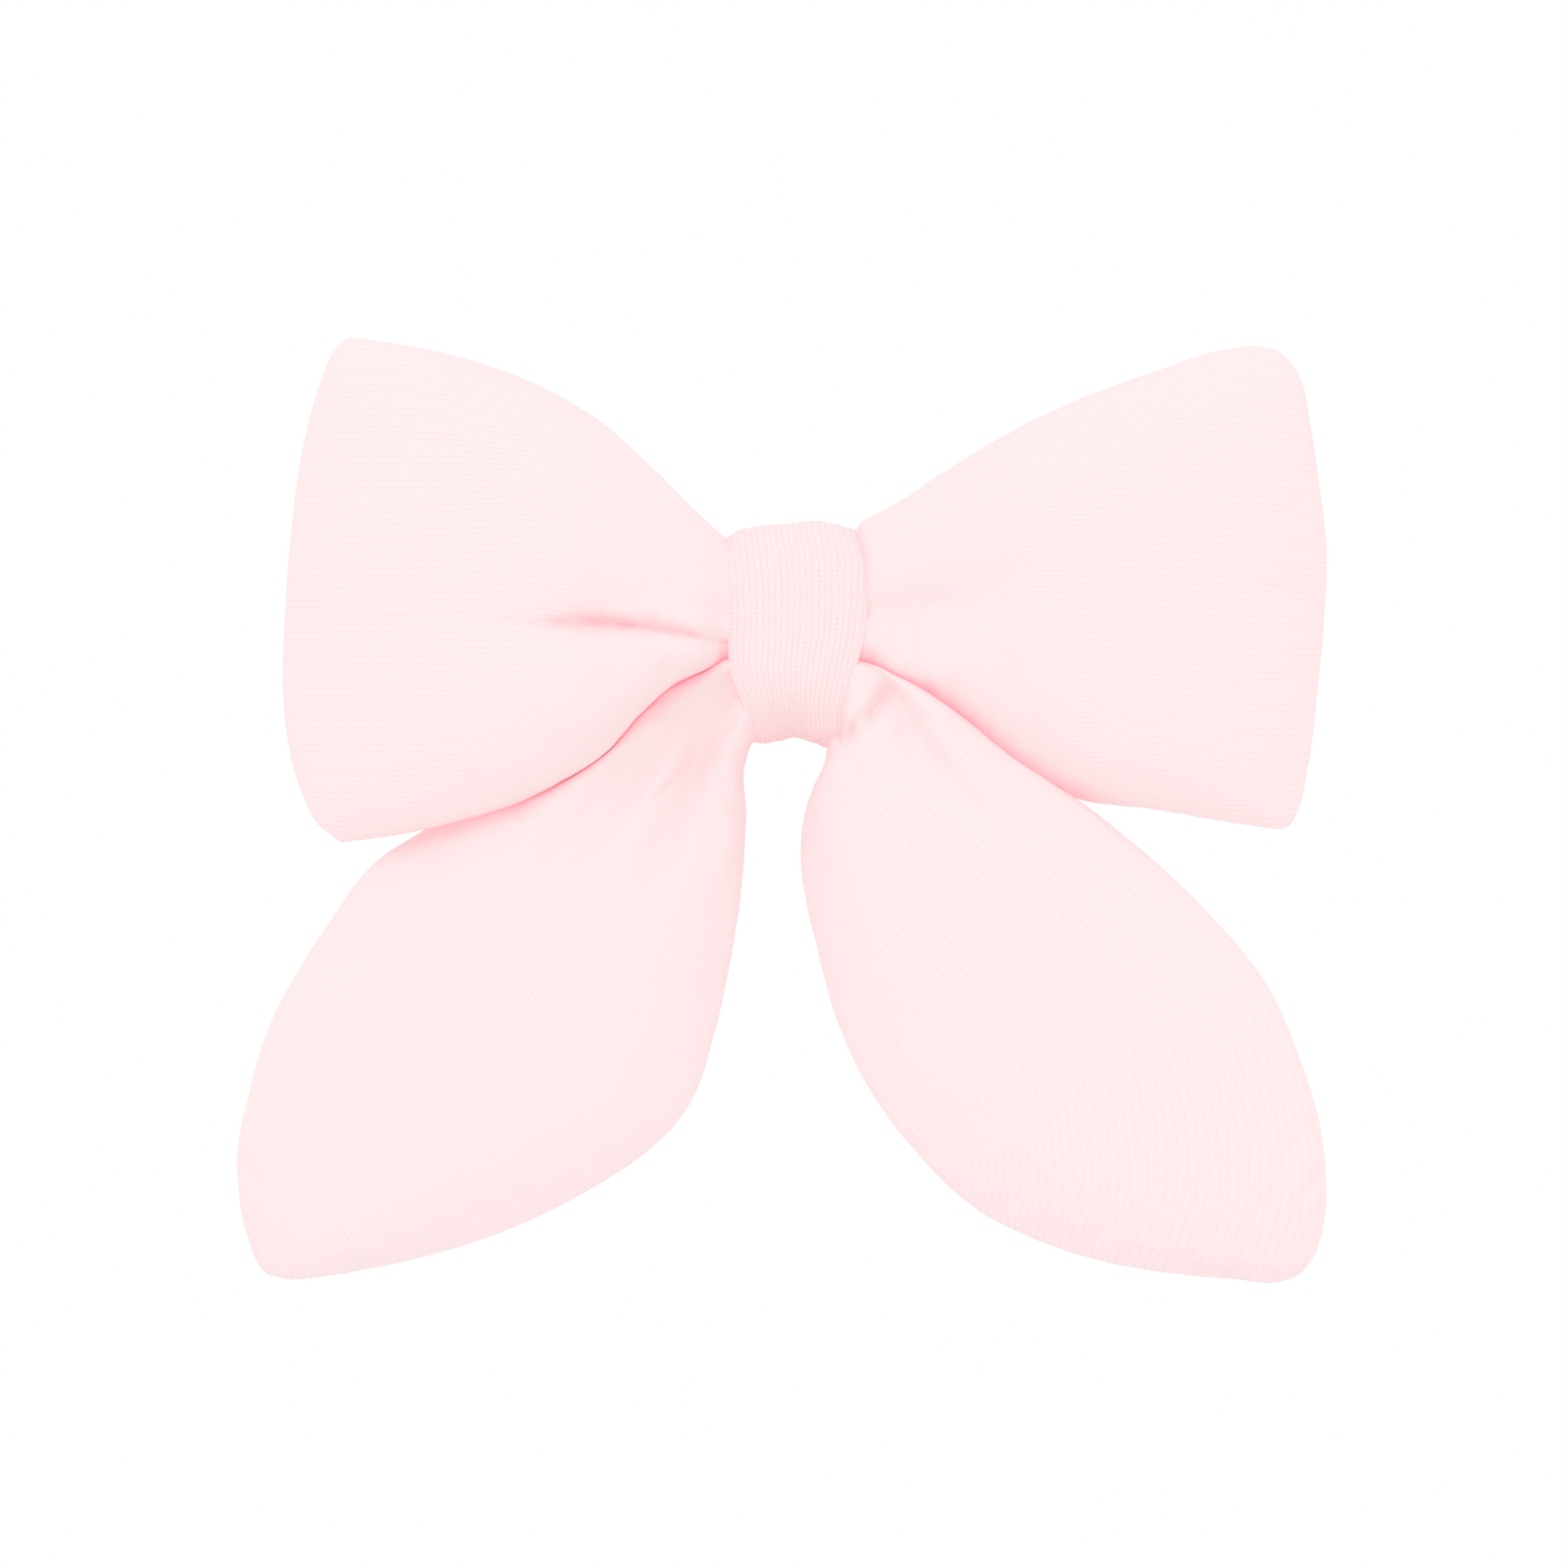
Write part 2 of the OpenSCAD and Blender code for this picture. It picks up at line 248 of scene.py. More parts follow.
setMaterial(floor, floorPaint)
print("camera, lights and floor are in place")


# Materials

# Cotton jersey, weft knitted, face side out: columns of small V stitches, painted shade in the fine grooves
# between them, a soft brushed surface with no shine, and painted pink shade and glow where it folds on
# itself
knit = {
    "yarn": "#feeced",
    # painted shade in the grooves, and the deeper patches of the dye
    "grooveShadeAndDyeColour": "#fbd3d6",
    "wale": 0.68,  # mm between columns of stitches
    "course": 0.56,  # mm between rows of stitches
    "legSlant": 0.8,  # how far a stitch's leg climbs across half a column, in rows
    "legDepth": 0.28,  # how far the yarn dips between rows, against the groove's whole depth
    "relief": 0.032,  # mm from groove to top of the yarn
    "paintedGrooveShade": 0.36,  # how much painted shade shows in the grooves
    "paintedFoldShadePink": "#ffcfd3",  # painted shade, pink, where folds throw pink light back and forth
    "paintedFoldShadeStrength": 0.65,
    "paintedGlowPink": "#ee9fa8",  # painted glow, for light that has soaked through the fabric into the deepest folds
    "paintedGlow": 0.28,
    "wander": 0.9,  # stitches between a column's farthest drift to one side and to the other
    "wanderLength": 6.25,  # mm over which it does so, about nine columns
    "grooveEdge": 5.0,  # the higher, the narrower the groove between columns
    "dipEdge": 6.0,  # the same for the dip where a stitch's two legs meet
    "dip": 0.3,  # depth of that dip, against the groove's
    "fuzz": 0.15,  # height of loose fibre ends, against the groove's depth
    "fuzzSize": 0.111,  # mm; real ends are 0.02 mm thick, too fine to show
    "dye": 0.10,  # how unevenly the dye has taken
    "dyeLength": 22.2,  # mm from a paler to a deeper patch
}


def makeJersey(name, recipe):
    material, tree = newMaterial(name)
    stitches = addNode(tree, "UVMap", uv_map="stitches")
    place = addNode(tree, "TexCoord")
    # the fabric's own unevenness: columns wander a little to both sides
    drift = addNode(tree, "TexNoise", {"Vector": place.outputs["Object"],
                                       "Scale": scaleFor(recipe["wanderLength"]), "Detail": 2.0})
    wander = addNode(tree, "VectorMath", {0: drift.outputs["Color"], 1: (0.5, 0.5, 0.5)},
                     operation="SUBTRACT")
    shift = addNode(tree, "VectorMath", {0: wander, "Scale": recipe["wander"]}, operation="SCALE")
    moved = addNode(tree, "VectorMath", {0: stitches, 1: shift}, operation="ADD")
    split = addNode(tree, "SeparateXYZ", {0: moved})
    column = addNode(tree, "Math", {0: split.outputs["X"]}, operation="FRACT")
    fromMiddle = addNode(tree, "Math", {0: column, 1: 0.5}, operation="SUBTRACT")
    half = addNode(tree, "Math", {0: fromMiddle}, operation="ABSOLUTE")
    edge = addNode(tree, "Math", {0: half, 1: 2.0}, operation="MULTIPLY")
    # groove between columns, a shallower one where a stitch's two legs meet
    grooved = addNode(tree, "Math", {0: edge, 1: recipe["grooveEdge"]}, operation="POWER")
    inward = addNode(tree, "Math", {0: 1.0, 1: edge}, operation="SUBTRACT")
    dipped = addNode(tree, "Math", {0: inward, 1: recipe["dipEdge"]}, operation="POWER")
    dipShare = addNode(tree, "Math", {0: dipped, 1: recipe["dip"]}, operation="MULTIPLY")
    hollow = addNode(tree, "Math", {0: grooved, 1: dipShare}, operation="ADD")
    body = addNode(tree, "Math", {0: 1.0, 1: hollow}, operation="SUBTRACT")
    # legs: one yarn's width per row, leaning outwards from the middle of the column
    climb = addNode(tree, "Math", {0: edge, 1: recipe["legSlant"], 2: split.outputs["Y"]},
                    operation="MULTIPLY_ADD")
    turn = addNode(tree, "Math", {0: climb, 1: 2 * np.pi}, operation="MULTIPLY")
    wave = addNode(tree, "Math", {0: turn}, operation="SINE")
    leg = addNode(tree, "Math", {0: wave, 1: recipe["legDepth"], 2: 1 - recipe["legDepth"]},
                  operation="MULTIPLY_ADD")
    height = addNode(tree, "Math", {0: body, 1: leg}, operation="MULTIPLY")
    # loose fibre ends stand off the yarn
    fuzz = addNode(tree, "TexNoise", {"Vector": place.outputs["Object"],
                                      "Scale": scaleFor(recipe["fuzzSize"]), "Detail": 3.0})
    furred = addNode(tree, "Math", {0: fuzz, 1: recipe["fuzz"], 2: height}, operation="MULTIPLY_ADD")
    bump = addNode(tree, "Bump", {"Strength": 1.0, "Distance": recipe["relief"] * mm, "Height": furred})
    dye = addNode(tree, "TexNoise", {"Vector": place.outputs["Object"],
                                     "Scale": scaleFor(recipe["dyeLength"]), "Detail": 2.0})
    # painted shade in the grooves, the more the deeper the yarn lies, with the uneven dye on top
    depth = addNode(tree, "Math", {0: 1.0, 1: height}, operation="SUBTRACT")
    paintedGrooveShadeMix = addNode(tree, "Math", {0: depth, 1: recipe["paintedGrooveShade"]}, operation="MULTIPLY")
    shadeDye = addNode(tree, "Math", {0: dye, 1: recipe["dye"], 2: paintedGrooveShadeMix}, operation="MULTIPLY_ADD")
    tint = addNode(tree, "MixRGB", {"Fac": shadeDye, "Color1": toLinear(recipe["yarn"]),
                                    "Color2": toLinear(recipe["grooveShadeAndDyeColour"])})
    # folds: painted pink shade, by the cover's own measure of how closed in each place is
    paintedFoldShade = addNode(tree, "Attribute", attribute_name="paintedFoldShade")
    paintedFoldShadeMix = addNode(tree, "Math", {0: paintedFoldShade.outputs["Fac"], 1: recipe["paintedFoldShadeStrength"]},
                          operation="MULTIPLY")
    withPaintedFoldShade = addNode(tree, "MixRGB", {"Fac": paintedFoldShadeMix, "Color1": tint,
                                      "Color2": toLinear(recipe["paintedFoldShadePink"])})
    # painted glow: the deepest folds give off a faint pink light of their own
    paintedGlowMask = addNode(tree, "Math", {0: paintedFoldShade.outputs["Fac"], 1: 2.0}, operation="POWER")
    paintedGlow = addNode(tree, "Math", {0: paintedGlowMask, 1: recipe["paintedGlow"]}, operation="MULTIPLY")
    shader = addNode(tree, "BsdfPrincipled", {"Base Color": withPaintedFoldShade, "Roughness": 0.88, "Normal": bump,
                                              "Sheen Weight": 0.12, "Sheen Roughness": 0.5,
                                              "Specular IOR Level": 0.25,
                                              "Emission Color": toLinear(recipe["paintedGlowPink"]),
                                              "Emission Strength": paintedGlow})
    addNode(tree, "OutputMaterial", {"Surface": shader})
    return material


jersey = makeJersey("cottonJerseyKnit", knit)
# the same fabric drawn hard round the knot: its columns open and stand out more, with more painted shade in
# its grooves
drawnJersey = makeJersey("cottonJerseyKnitStretched", {**knit, "relief": 0.055, "legDepth": 0.42,
                                                       "paintedGrooveShade": 0.7, "yarn": "#fff5f5"})

def makePatterned(name, kind, pattern, colours, relief, surface, **settings):
    # one pattern drives both the colour and the relief, relief as strength and depth in mm
    material, tree = newMaterial(name)
    place = addNode(tree, "TexCoord")
    texture = addNode(tree, kind, {"Vector": place.outputs["Object"], **pattern}, **settings)
    tint = addNode(tree, "MixRGB", {"Fac": texture, "Color1": toLinear(colours[0]),
                                    "Color2": toLinear(colours[1])})
    bump = addNode(tree, "Bump", {"Strength": relief[0], "Distance": relief[1] * mm, "Height": texture})
    shader = addNode(tree, "BsdfPrincipled", {"Base Color": tint, "Normal": bump, **surface})
    addNode(tree, "OutputMaterial", {"Surface": shader})
    return material


# turns of Blender's wave texture in one unit of its scale, straight and slanting
straightWaves, slantingWaves = 10 / np.pi, 5 / np.pi

# Polyester fibrefill: white curled fibres in soft lumps, slightly glossy one by one. Fibres of 0.03 mm
# are too fine to show, so they are drawn as tufts
wadding = makePatterned("polyesterFibrefill", "TexNoise",
                        {"Scale": scaleFor(1.43), "Detail": 8.0, "Distortion": 2.0},
                        ("#e9e8e4", "#fbfbf9"), (0.8, 0.4), {"Roughness": 0.7})

# Spun polyester sewing thread, two plies twisted: a fine slanting rope texture with a low sheen
thread = makePatterned("spunPolyesterThread", "TexWave",
                       {"Scale": scaleFor(0.449, slantingWaves), "Distortion": 1.0},
                       ("#e9b9be", "#f8dcdf"), (0.6, 0.05), {"Roughness": 0.55, "Sheen Weight": 0.2},
                       bands_direction="DIAGONAL")

# Polyester grosgrain ribbon, woven: ribs across it are in its shape and catch the light in lines; the
# fine warp threads that run along it, one every 0.31 mm, are in the material
grosgrain = makePatterned("polyesterGrosgrain", "TexWave",
                          {"Scale": scaleFor(0.314, straightWaves), "Distortion": 0.6},
                          ("#f0cdd2", "#f7dfe2"), (0.5, 0.04), {"Roughness": 0.48, "Sheen Weight": 0.1},
                          bands_direction="Z")

# Hot-melt glue, set: milky, waxy and a little see-through at its edges, with soft swells where it flowed
glue = makePatterned("hotMeltGlue", "TexNoise", {"Scale": scaleFor(3.33), "Detail": 2.0},
                     ("#ece5d2", "#f6f1e4"), (0.4, 0.2),
                     {"Roughness": 0.35, "Subsurface Weight": 0.3, "Subsurface Scale": 1 * mm})


def makeSteel(name, dark, light, grain, roughLow, roughHigh):
    # real drawing lines are about 0.05 mm apart, too fine to show: drawn over 1.4 mm across the metal
    material, tree = newMaterial(name)
    place = addNode(tree, "TexCoord")
    stretched = addNode(tree, "Mapping", {"Vector": place.outputs["Object"], "Scale": grain})
    lines = addNode(tree, "TexNoise", {"Vector": stretched, "Scale": scaleFor(16.7), "Detail": 6.0})
    tint = addNode(tree, "MixRGB", {"Fac": lines, "Color1": toLinear(dark), "Color2": toLinear(light)})
    rough = addNode(tree, "MapRange", {"Value": lines, "To Min": roughLow, "To Max": roughHigh})
    bump = addNode(tree, "Bump", {"Strength": 0.25, "Distance": 0.01 * mm, "Height": lines})
    shader = addNode(tree, "BsdfPrincipled", {"Base Color": tint, "Metallic": 1.0, "Roughness": rough,
                                              "Normal": bump})
    addNode(tree, "OutputMaterial", {"Surface": shader})
    return material


# Nickel-plated pressed steel: bright and faintly warm, with drawing lines along the clip
plated = makeSteel("nickelPlatedSteel", "#bbb8b3", "#c6c3be", (1, 12, 12), 0.12, 0.26)
# Spring wire, oil tempered: a darker, softer shine with fine lines round the wire
springWire = makeSteel("temperedSpringWire", "#6f6d6b", "#98968f", (12, 12, 12), 0.25, 0.42)
print("materials are made")


# Pillows: the loops and the tails, each one sewn cover with wadding at both ends

# Outlines are x and z in mm from the knot's middle; each side's foot and head run from the knot outwards,
# and its end runs from the foot's last point to the head's. Of the other keys:
# middle: place along the side, then where the grid's middle line runs between foot and head
# seamShift: mm that the seams come forwards beside the knot, at the foot and the head; below 0, go back
# puff: mm from the seam out to the front and the back of the filled cover
# pace: below 1, the cover swells and the seams settle sooner after the knot
# rounding: roundness of the section at the foot and the head beside the knot; the higher, the fuller
# creaseHeld: share of the side along which the cover is held in at its middle line
# gather, wavesAtKnot: mm of the small folds that fan out from the knot, and how many
# knitFrom, wale: line that the columns of stitches follow, and mm between them
# folds: a line, its drop in mm at each of its points, and kind and width in mm to its left and right
pillow = {
    "columns": 62,  # from the knot to a tip
    "halfRows": 26,  # from the middle line to a seam
    "waistPuff": (6.3, 4.4),  # mm from the seam to the gathered waist's front and back
    "cover": 0.65,  # mm from the middle of the seam to the cover's face
    "pucker": 0.10,  # mm, small gathers along the seam
    "puckerLength": 3.4,  # mm from one small gather to the next
    "puckerReach": 2.2,  # mm from the seam over which they fade
    "gatherReach": 6,  # mm from the knot over which its folds fade
    "sideLength": 50,  # mm from knot to tip, roughly
    "seamLength": 60,  # mm along a seam, roughly
    "roundSection": 2.4,  # roundness of a filled section: 2 is an ellipse, more is fuller
}
loopLeft = {
    "foot": [(-8, -3), (-13.7, -5.4), (-17.3, -8.6), (-21.3, -13.1), (-25.4, -15.8), (-30.8, -18.5),
             (-38, -20.7), (-43.4, -21.9), (-50.5, -22.9)],
    "head": [(-8, 11), (-11, 13.8), (-16.4, 19.2), (-21.8, 24), (-30.8, 29), (-39.8, 31.8), (-49.7, 33.4)],
    "end": [(-50.5, -22.9), (-53.3, -20.7), (-55.3, -16.7), (-56.7, -11.3), (-57.2, -5.9), (-56.9, 4.1),
            (-56.2, 13.1), (-54.9, 21.6), (-53.3, 27.5), (-51.3, 32), (-49.7, 33.4)],
    "middle": [(0, 0.13), (0.13, 0.27), (0.28, 0.381), (0.47, 0.417), (1, 0.478)],
    "seamShift": (3.2, 0), "puff": (7.6, 4.2), "pace": 0.73, "rounding": (6, 2.4), "creaseHeld": 0.6,
    "gather": 0.2, "wavesAtKnot": 3.5,
    "folds": [
        {"line": [(-7, -1), (-8.3, -0.7), (-13.7, 0.5), (-20, 1.3), (-24.5, 1.5), (-28.5, 1.3), (-36, 1.2)],
         "drop": [0.8, 1.3, 2.6, 3.4, 3.0, 1.0, 0], "left": ("roll", 2.5), "right": ("roll", 1.7)},
        {"line": [(-15, 2), (-22, 2.6), (-28, 2.4), (-36, 2)],
         "drop": [0, 1.2, 1.0, 0], "left": ("soft", 6), "right": ("soft", 6)},
    ],
}
loopRight = {
    "foot": [(8, -3.4), (17, -9), (25, -15.8), (31.8, -18.3), (39.4, -19.2), (46.6, -20.4), (52, -21.2)],
    "head": [(6.3, 12.4), (10.6, 14.7), (17.8, 19.4), (25, 23.6), (32.2, 26.9), (39.4, 29.5), (46.6, 31.8),
             (50.7, 32.4)],
    "end": [(52, -21.2), (54.5, -21.2), (55.6, -19.4), (56.7, -14.9), (57.9, -5.9), (58.7, 3.2),
            (58.9, 9.5), (58.1, 16.7), (57, 23.9), (55.6, 29.4), (53.8, 31.5), (50.7, 32.4)],
    "middle": [(0, 0.235), (0.17, 0.449), (0.3, 0.532), (1, 0.49)],
    "seamShift": (0.8, 0.4), "puff": (7.6, 3.6), "pace": 0.73, "rounding": (6, 2.4), "creaseHeld": 0.3,
    "gather": 0.2, "wavesAtKnot": 3.5,
    "folds": [
        {"line": [(7, 1.2), (8.1, 1.5), (11.5, 2.3), (16, 3.6), (22.3, 5.4), (30, 6.2)],
         "drop": [0.5, 0.9, 1.6, 1.5, 0.8, 0], "left": ("soft", 4.5), "right": ("soft", 6)},
    ],
}
tailLeft = {
    "foot": [(-5.1, -12.2), (-5.8, -14), (-5.7, -19.4), (-6, -26.6), (-7.4, -36.5), (-9.2, -44.6),
             (-11, -50.4), (-13.2, -54), (-16.4, -57.2), (-21.8, -60.8), (-30.8, -65.4),
             (-41.6, -68.9), (-50.6, -70.7)],
    "head": [(-8, -1.6), (-20, -8.2), (-35, -17), (-42.7, -21.9), (-46.1, -24), (-48.8, -26.6),
             (-51.9, -31.1), (-55.1, -36), (-58.7, -42.8), (-60.9, -50), (-62.3, -58.1),
             (-61.8, -63.5), (-60.5, -68.4)],
    "end": [(-50.6, -70.7), (-57.3, -71.3), (-59.1, -70.7), (-60.5, -68.4)],
    "middle": [(0, 0.5), (1, 0.5)],
    "seamShift": (-1.6, -2.0), "puff": (4.6, 3.2), "pace": 0.8, "rounding": (3, 6), "creaseHeld": 0,
    "gather": 0.2, "wavesAtKnot": 3, "knitFrom": "middle", "wale": 0.66,
    "folds": [
        {"line": [(-7.5, -6), (-10, -11), (-12.8, -17.6), (-14.6, -23), (-16, -30)],
         "drop": [1.8, 2.8, 2.6, 1.6, 0], "left": ("soft", 2.6), "right": ("soft", 3.2)},
        {"line": [(-10, -6), (-14, -10.5), (-19, -16), (-25, -23), (-31, -30)],
         "drop": [1.2, 1.7, 2.0, 1.3, 0], "left": ("soft", 3.4), "right": ("soft", 4)},
        {"line": [(-7.4, -7), (-6.8, -10), (-6, -13.5), (-5.8, -18)],
         "drop": [0.5, 0.9, 0.8, 0], "left": ("soft", 2.4), "right": ("soft", 2.4)},
    ],
}
tailRight = {
    "foot": [(3.6, -13.1), (1.6, -17.1), (0.5, -21.2), (0.3, -23.9), (0.7, -28.4), (2.1, -34.7),
             (4.3, -42.8), (7.9, -50.4), (13.3, -57.6), (19.6, -63.5), (27.7, -67.5), (35.8, -69.8),
             (42.1, -70.7), (49.3, -71.3)],
    "head": [(6.8, -1.8), (9.7, -2.7), (14.2, -5.4), (22.3, -11.3), (31.3, -18), (37.6, -23), (45.7, -30.6),
             (52, -38.3), (55.6, -46.4), (57.6, -52.7), (58.5, -59), (58.4, -64.4), (57.4, -68.4)],
    "end": [(49.3, -71.3), (52.9, -71.7), (55.6, -70.8), (57.4, -68.4)],
    "middle": [(0, 0.5), (1, 0.5)],
    "seamShift": (-0.8, 3.8), "puff": (4.8, 3.6), "pace": 0.8, "rounding": (3, 6), "creaseHeld": 0,
    "gather": 0.2, "wavesAtKnot": 3, "knitFrom": "head", "wale": 0.74,
    "folds": [
        {"line": [(10.3, -5.2), (9.9, -5.9), (8.4, -8.1), (5.7, -10.6), (3.4, -12.9)],
         "drop": [0.8, 2.2, 3.2, 3.2, 2.4], "left": ("roll", 2.2), "right": ("roll", 2.2)},
        {"line": [(10.2, -5.2), (11.3, -6.6), (13.3, -9.9), (16, -14), (19.6, -18), (25, -23)],
         "drop": [2.0, 3.0, 2.8, 2.0, 1.0, 0], "left": ("roll", 2.8), "right": ("soft", 4.5)},
    ],
}


def foldProfile(kind, q):  # share of a fold's drop at q widths from its line
    near = np.clip(q, 0, 1)
    if kind == "roll":  # steep at the line, as where fabric rolls over
        return 1 - np.sqrt(1 - (1 - near) ** 2)
    return (1 + np.cos(np.pi * near)) / 2


def foldDrop(fold, xz):
    fine = smoothLine(fold["line"], np.linspace(0, 1, 40))
    distance, place, side = nearestOn(fine, xz)
    steps = np.linalg.norm(np.diff(np.array(fold["line"]), axis=0), axis=1)
    knots = np.concatenate([[0], np.cumsum(steps)])
    drop = np.interp(place, knots / knots[-1], fold["drop"])
    left = foldProfile(fold["left"][0], distance / fold["left"][1])
    right = foldProfile(fold["right"][0], distance / fold["right"][1])
    return drop * np.where(side > 0, left, right)


towardsSeam = spread(pillow["halfRows"] + 1, 0.7)
acrossRows = np.concatenate([-towardsSeam[::-1][:-1], towardsSeam])
alongColumns = spread(pillow["columns"], 0.55)
waistColumns = np.linspace(0, 1, 8)[1:-1]  # between the left side and the right, under the knot


def layOutSide(side):  # front and back of one side as x, depth (larger is nearer the front) and z, in mm
    t = alongColumns[:, None]
    v = acrossRows[None, :]
    foot, head = smoothLine(side["foot"], alongColumns), smoothLine(side["head"], alongColumns)
    middleAt, middleShare = np.array(side["middle"]).T
    middle = np.interp(alongColumns, middleAt, middleShare)[:, None]
    f = np.where(v < 0, (1 + v) * middle, middle + v * (1 - middle))
    xz = mix(foot[:, None, :], head[:, None, :], f[..., None])
    end = smoothLine(side["end"], f[-1])  # the last columns of points bend round to the tip's outline
    xz = xz + (t ** 3)[..., None] * (end - xz[-1])[None]
    w = 2 * f - 1
    s = t ** side["pace"]
    low, high = side["seamShift"]
    seam = view["seamDepth"] + ease(s / 0.16) * mix(low, high, f) * (1 - 0.75 * s ** 2)
    lowRound, highRound = side["rounding"]
    power = mix(np.where(w < 0, lowRound, highRound), pillow["roundSection"], ease((s - 0.1) / 0.5))
    full = np.sqrt(np.clip(1 - np.abs(w) ** power, 0, 1)) * np.sqrt(np.clip(1 - s ** 5, 0, 1))
    rim = np.clip(full * 4, 0, 1) * pillow["cover"]
    puffs = [mix(waist, p, ease(s / 0.3)) for waist, p in zip(pillow["waistPuff"], side["puff"])]
    width = np.linalg.norm(head - foot, axis=1)[:, None]
    fromSeam = np.minimum(1 - np.abs(w), 1) * width / 2
    fromKnot = s * pillow["sideLength"]
    waves = np.pi * w * side["wavesAtKnot"]
    gathers = side["gather"] * np.exp(-(fromKnot / pillow["gatherReach"]) ** 2) * full * (
        np.sin(waves + 0.6) + 0.6 * np.sin(waves * 1.7 + 2))
    ripple = pillow["pucker"] * np.exp(-(fromSeam / pillow["puckerReach"]) ** 2) * np.sin(
        2 * np.pi * t * pillow["seamLength"] / pillow["puckerLength"]) * np.clip(full * 3, 0, 1)
    drop = sum(foldDrop(fold, xz) for fold in side["folds"])
    front = seam + rim + puffs[0] * full + gathers + ripple
    front = np.maximum(front - drop * np.clip(full * 2.2, 0, 1), seam + rim * 0.6)
    back = seam - rim - puffs[1] * full - 0.5 * gathers - ripple
    front[:, 0] = back[:, 0] = seam[:, 0]
    front[:, -1] = back[:, -1] = seam[:, -1]
    front[-1] = back[-1] = seam[-1]
    return [np.stack([xz[..., 0], depth, xz[..., 1]], -1) for depth in (front, back)]


def joinSides(left, right, squeeze):  # both sides and the gathered waist between them, left tip to right
    anchor, share = squeeze  # height in mm towards which the waist is drawn in, and by what share
    columns = [left[::-1]]
    for b in waistColumns:
        pinch = 1 - share * min(1, np.sin(np.pi * b) * 1.8)
        column = mix(left[0], right[0], b)
        column[:, 2] = anchor + (column[:, 2] - anchor) * pinch
        columns.append(column[None])
    return np.concatenate(columns + [right])


def closedGrid(name, front, back, material, uvs=None):  # two grids of points joined along all four edges
    columnCount, rowCount = front.shape[:2]
    frontIndex = np.arange(columnCount * rowCount).reshape(columnCount, rowCount)
    backIndex = frontIndex.copy()
    inner = columnCount * rowCount + np.arange((columnCount - 2) * (rowCount - 2))
    backIndex[1:-1, 1:-1] = inner.reshape(columnCount - 2, rowCount - 2)
    points = np.concatenate([front.reshape(-1, 3), back[1:-1, 1:-1].reshape(-1, 3)])
    points = np.stack([points[:, 0], -points[:, 1], points[:, 2]], -1)
    corners = ((0, 0), (1, 0), (1, 1), (0, 1))

    def quads(index, order):
        picked = [index[a:columnCount - 1 + a, b:rowCount - 1 + b] for a, b in order]
        return np.stack(picked, -1).reshape(-1, 4)

    faces = np.concatenate([quads(frontIndex, corners), quads(backIndex, corners[::-1])])
    flat = None
    if uvs is not None:
        flat = []
        for (upper, lower), order in zip(uvs, (corners, corners[::-1])):
            up = np.stack([upper[a:columnCount - 1 + a, b:rowCount - 1 + b] for a, b in order], 2)
            low = np.stack([lower[a:columnCount - 1 + a, b:rowCount - 1 + b] for a, b in order], 2)
            isUpper = (np.arange(rowCount - 1) >= rowCount // 2)[None, :, None, None]
            flat.append(np.where(isUpper, up, low).reshape(-1, 2))
        flat = np.concatenate(flat)
    return makePiece(name, points, faces, material, flat)


def lengthAlong(grid, axis):  # running length in mm, rows or columns
    step = np.linalg.norm(np.diff(grid, axis=axis), axis=-1)
    pad = [(0, 0), (0, 0)]
    pad[axis] = (1, 0)
    return np.pad(np.cumsum(step, axis=axis), pad)


def edgeDistance(grid, line, fromTop):  # how far a point lies from a seam, over the swell of the cover
    points = np.array(line, float)
    before = points[0] + (points[0] - points[1]) * 3
    after = points[-1] + (points[-1] - points[-2]) * 3
    points = np.vstack([before, points, after])
    order = slice(None, None, -1) if fromTop else slice(None)
    over = grid[:, order]
    flat = over[..., [0, 2]]
    distance = nearestOn(smoothLine(points, np.linspace(0, 1, 80)), flat)[0]
    swell = np.linalg.norm(np.diff(over, axis=1), axis=-1) / np.maximum(
        np.linalg.norm(np.diff(flat, axis=1), axis=-1), 0.01)
    step = np.diff(distance, axis=1) * np.minimum(swell, 6)
    return np.pad(np.cumsum(step, axis=1), ((0, 0), (1, 0)))[:, order]


knitLayout = {
    "creaseEnd": 0.42,  # share of a loop along which its two halves meet in a crease
    "widestColumn": -6,  # near the tip, where a loop's columns of stitches are counted
    "narrowing": 0.5,  # share of a tail's columns that have run out by its tip
    "fan": 0.35,  # 0 to 1, how far a tail's columns crowd together where it is narrow
}


def loopStitches(grid, side):  # columns run along each seam and meet at the middle line, in stitches
    upper = edgeDistance(grid, side["head"], True)
    lower = edgeDistance(grid, side["foot"], False)
    total = (upper + lower)[:, grid.shape[1] // 2]
    widest = total[knitLayout["widestColumn"]]
    creaseEnd = int(np.searchsorted(alongColumns, knitLayout["creaseEnd"]))
    keep = np.maximum(np.arange(len(total)), creaseEnd)
    scale = (widest / total[keep])[:, None]
    rows = lengthAlong(grid, 0) / knit["course"]
    return (np.stack([upper * scale / knit["wale"], rows], -1),
            np.stack([(widest - lower * scale) / knit["wale"], rows], -1))


def tailStitches(grid, side):  # columns run along the upper seam or fan out, in stitches
    rows = lengthAlong(grid, 0) / knit["course"]
    if side["knitFrom"] == "head":
        columns = edgeDistance(grid, side["head"], True)
        columns = columns * (1 - knitLayout["narrowing"] * rows / rows[-1])
    else:  # fans out from the middle line
        over = lengthAlong(grid, 1)
        middle = grid.shape[1] // 2
        columns = over - over[:, middle][:, None]
        width = over[:, -1]
        widest = width.max()
        beforeWidest = np.arange(len(width)) < np.argmax(width)
        fan = np.where(beforeWidest, (widest / width) ** knitLayout["fan"], 1)
        columns = columns * fan[:, None]
    uv = np.stack([columns / side["wale"], rows], -1)
    return uv, uv


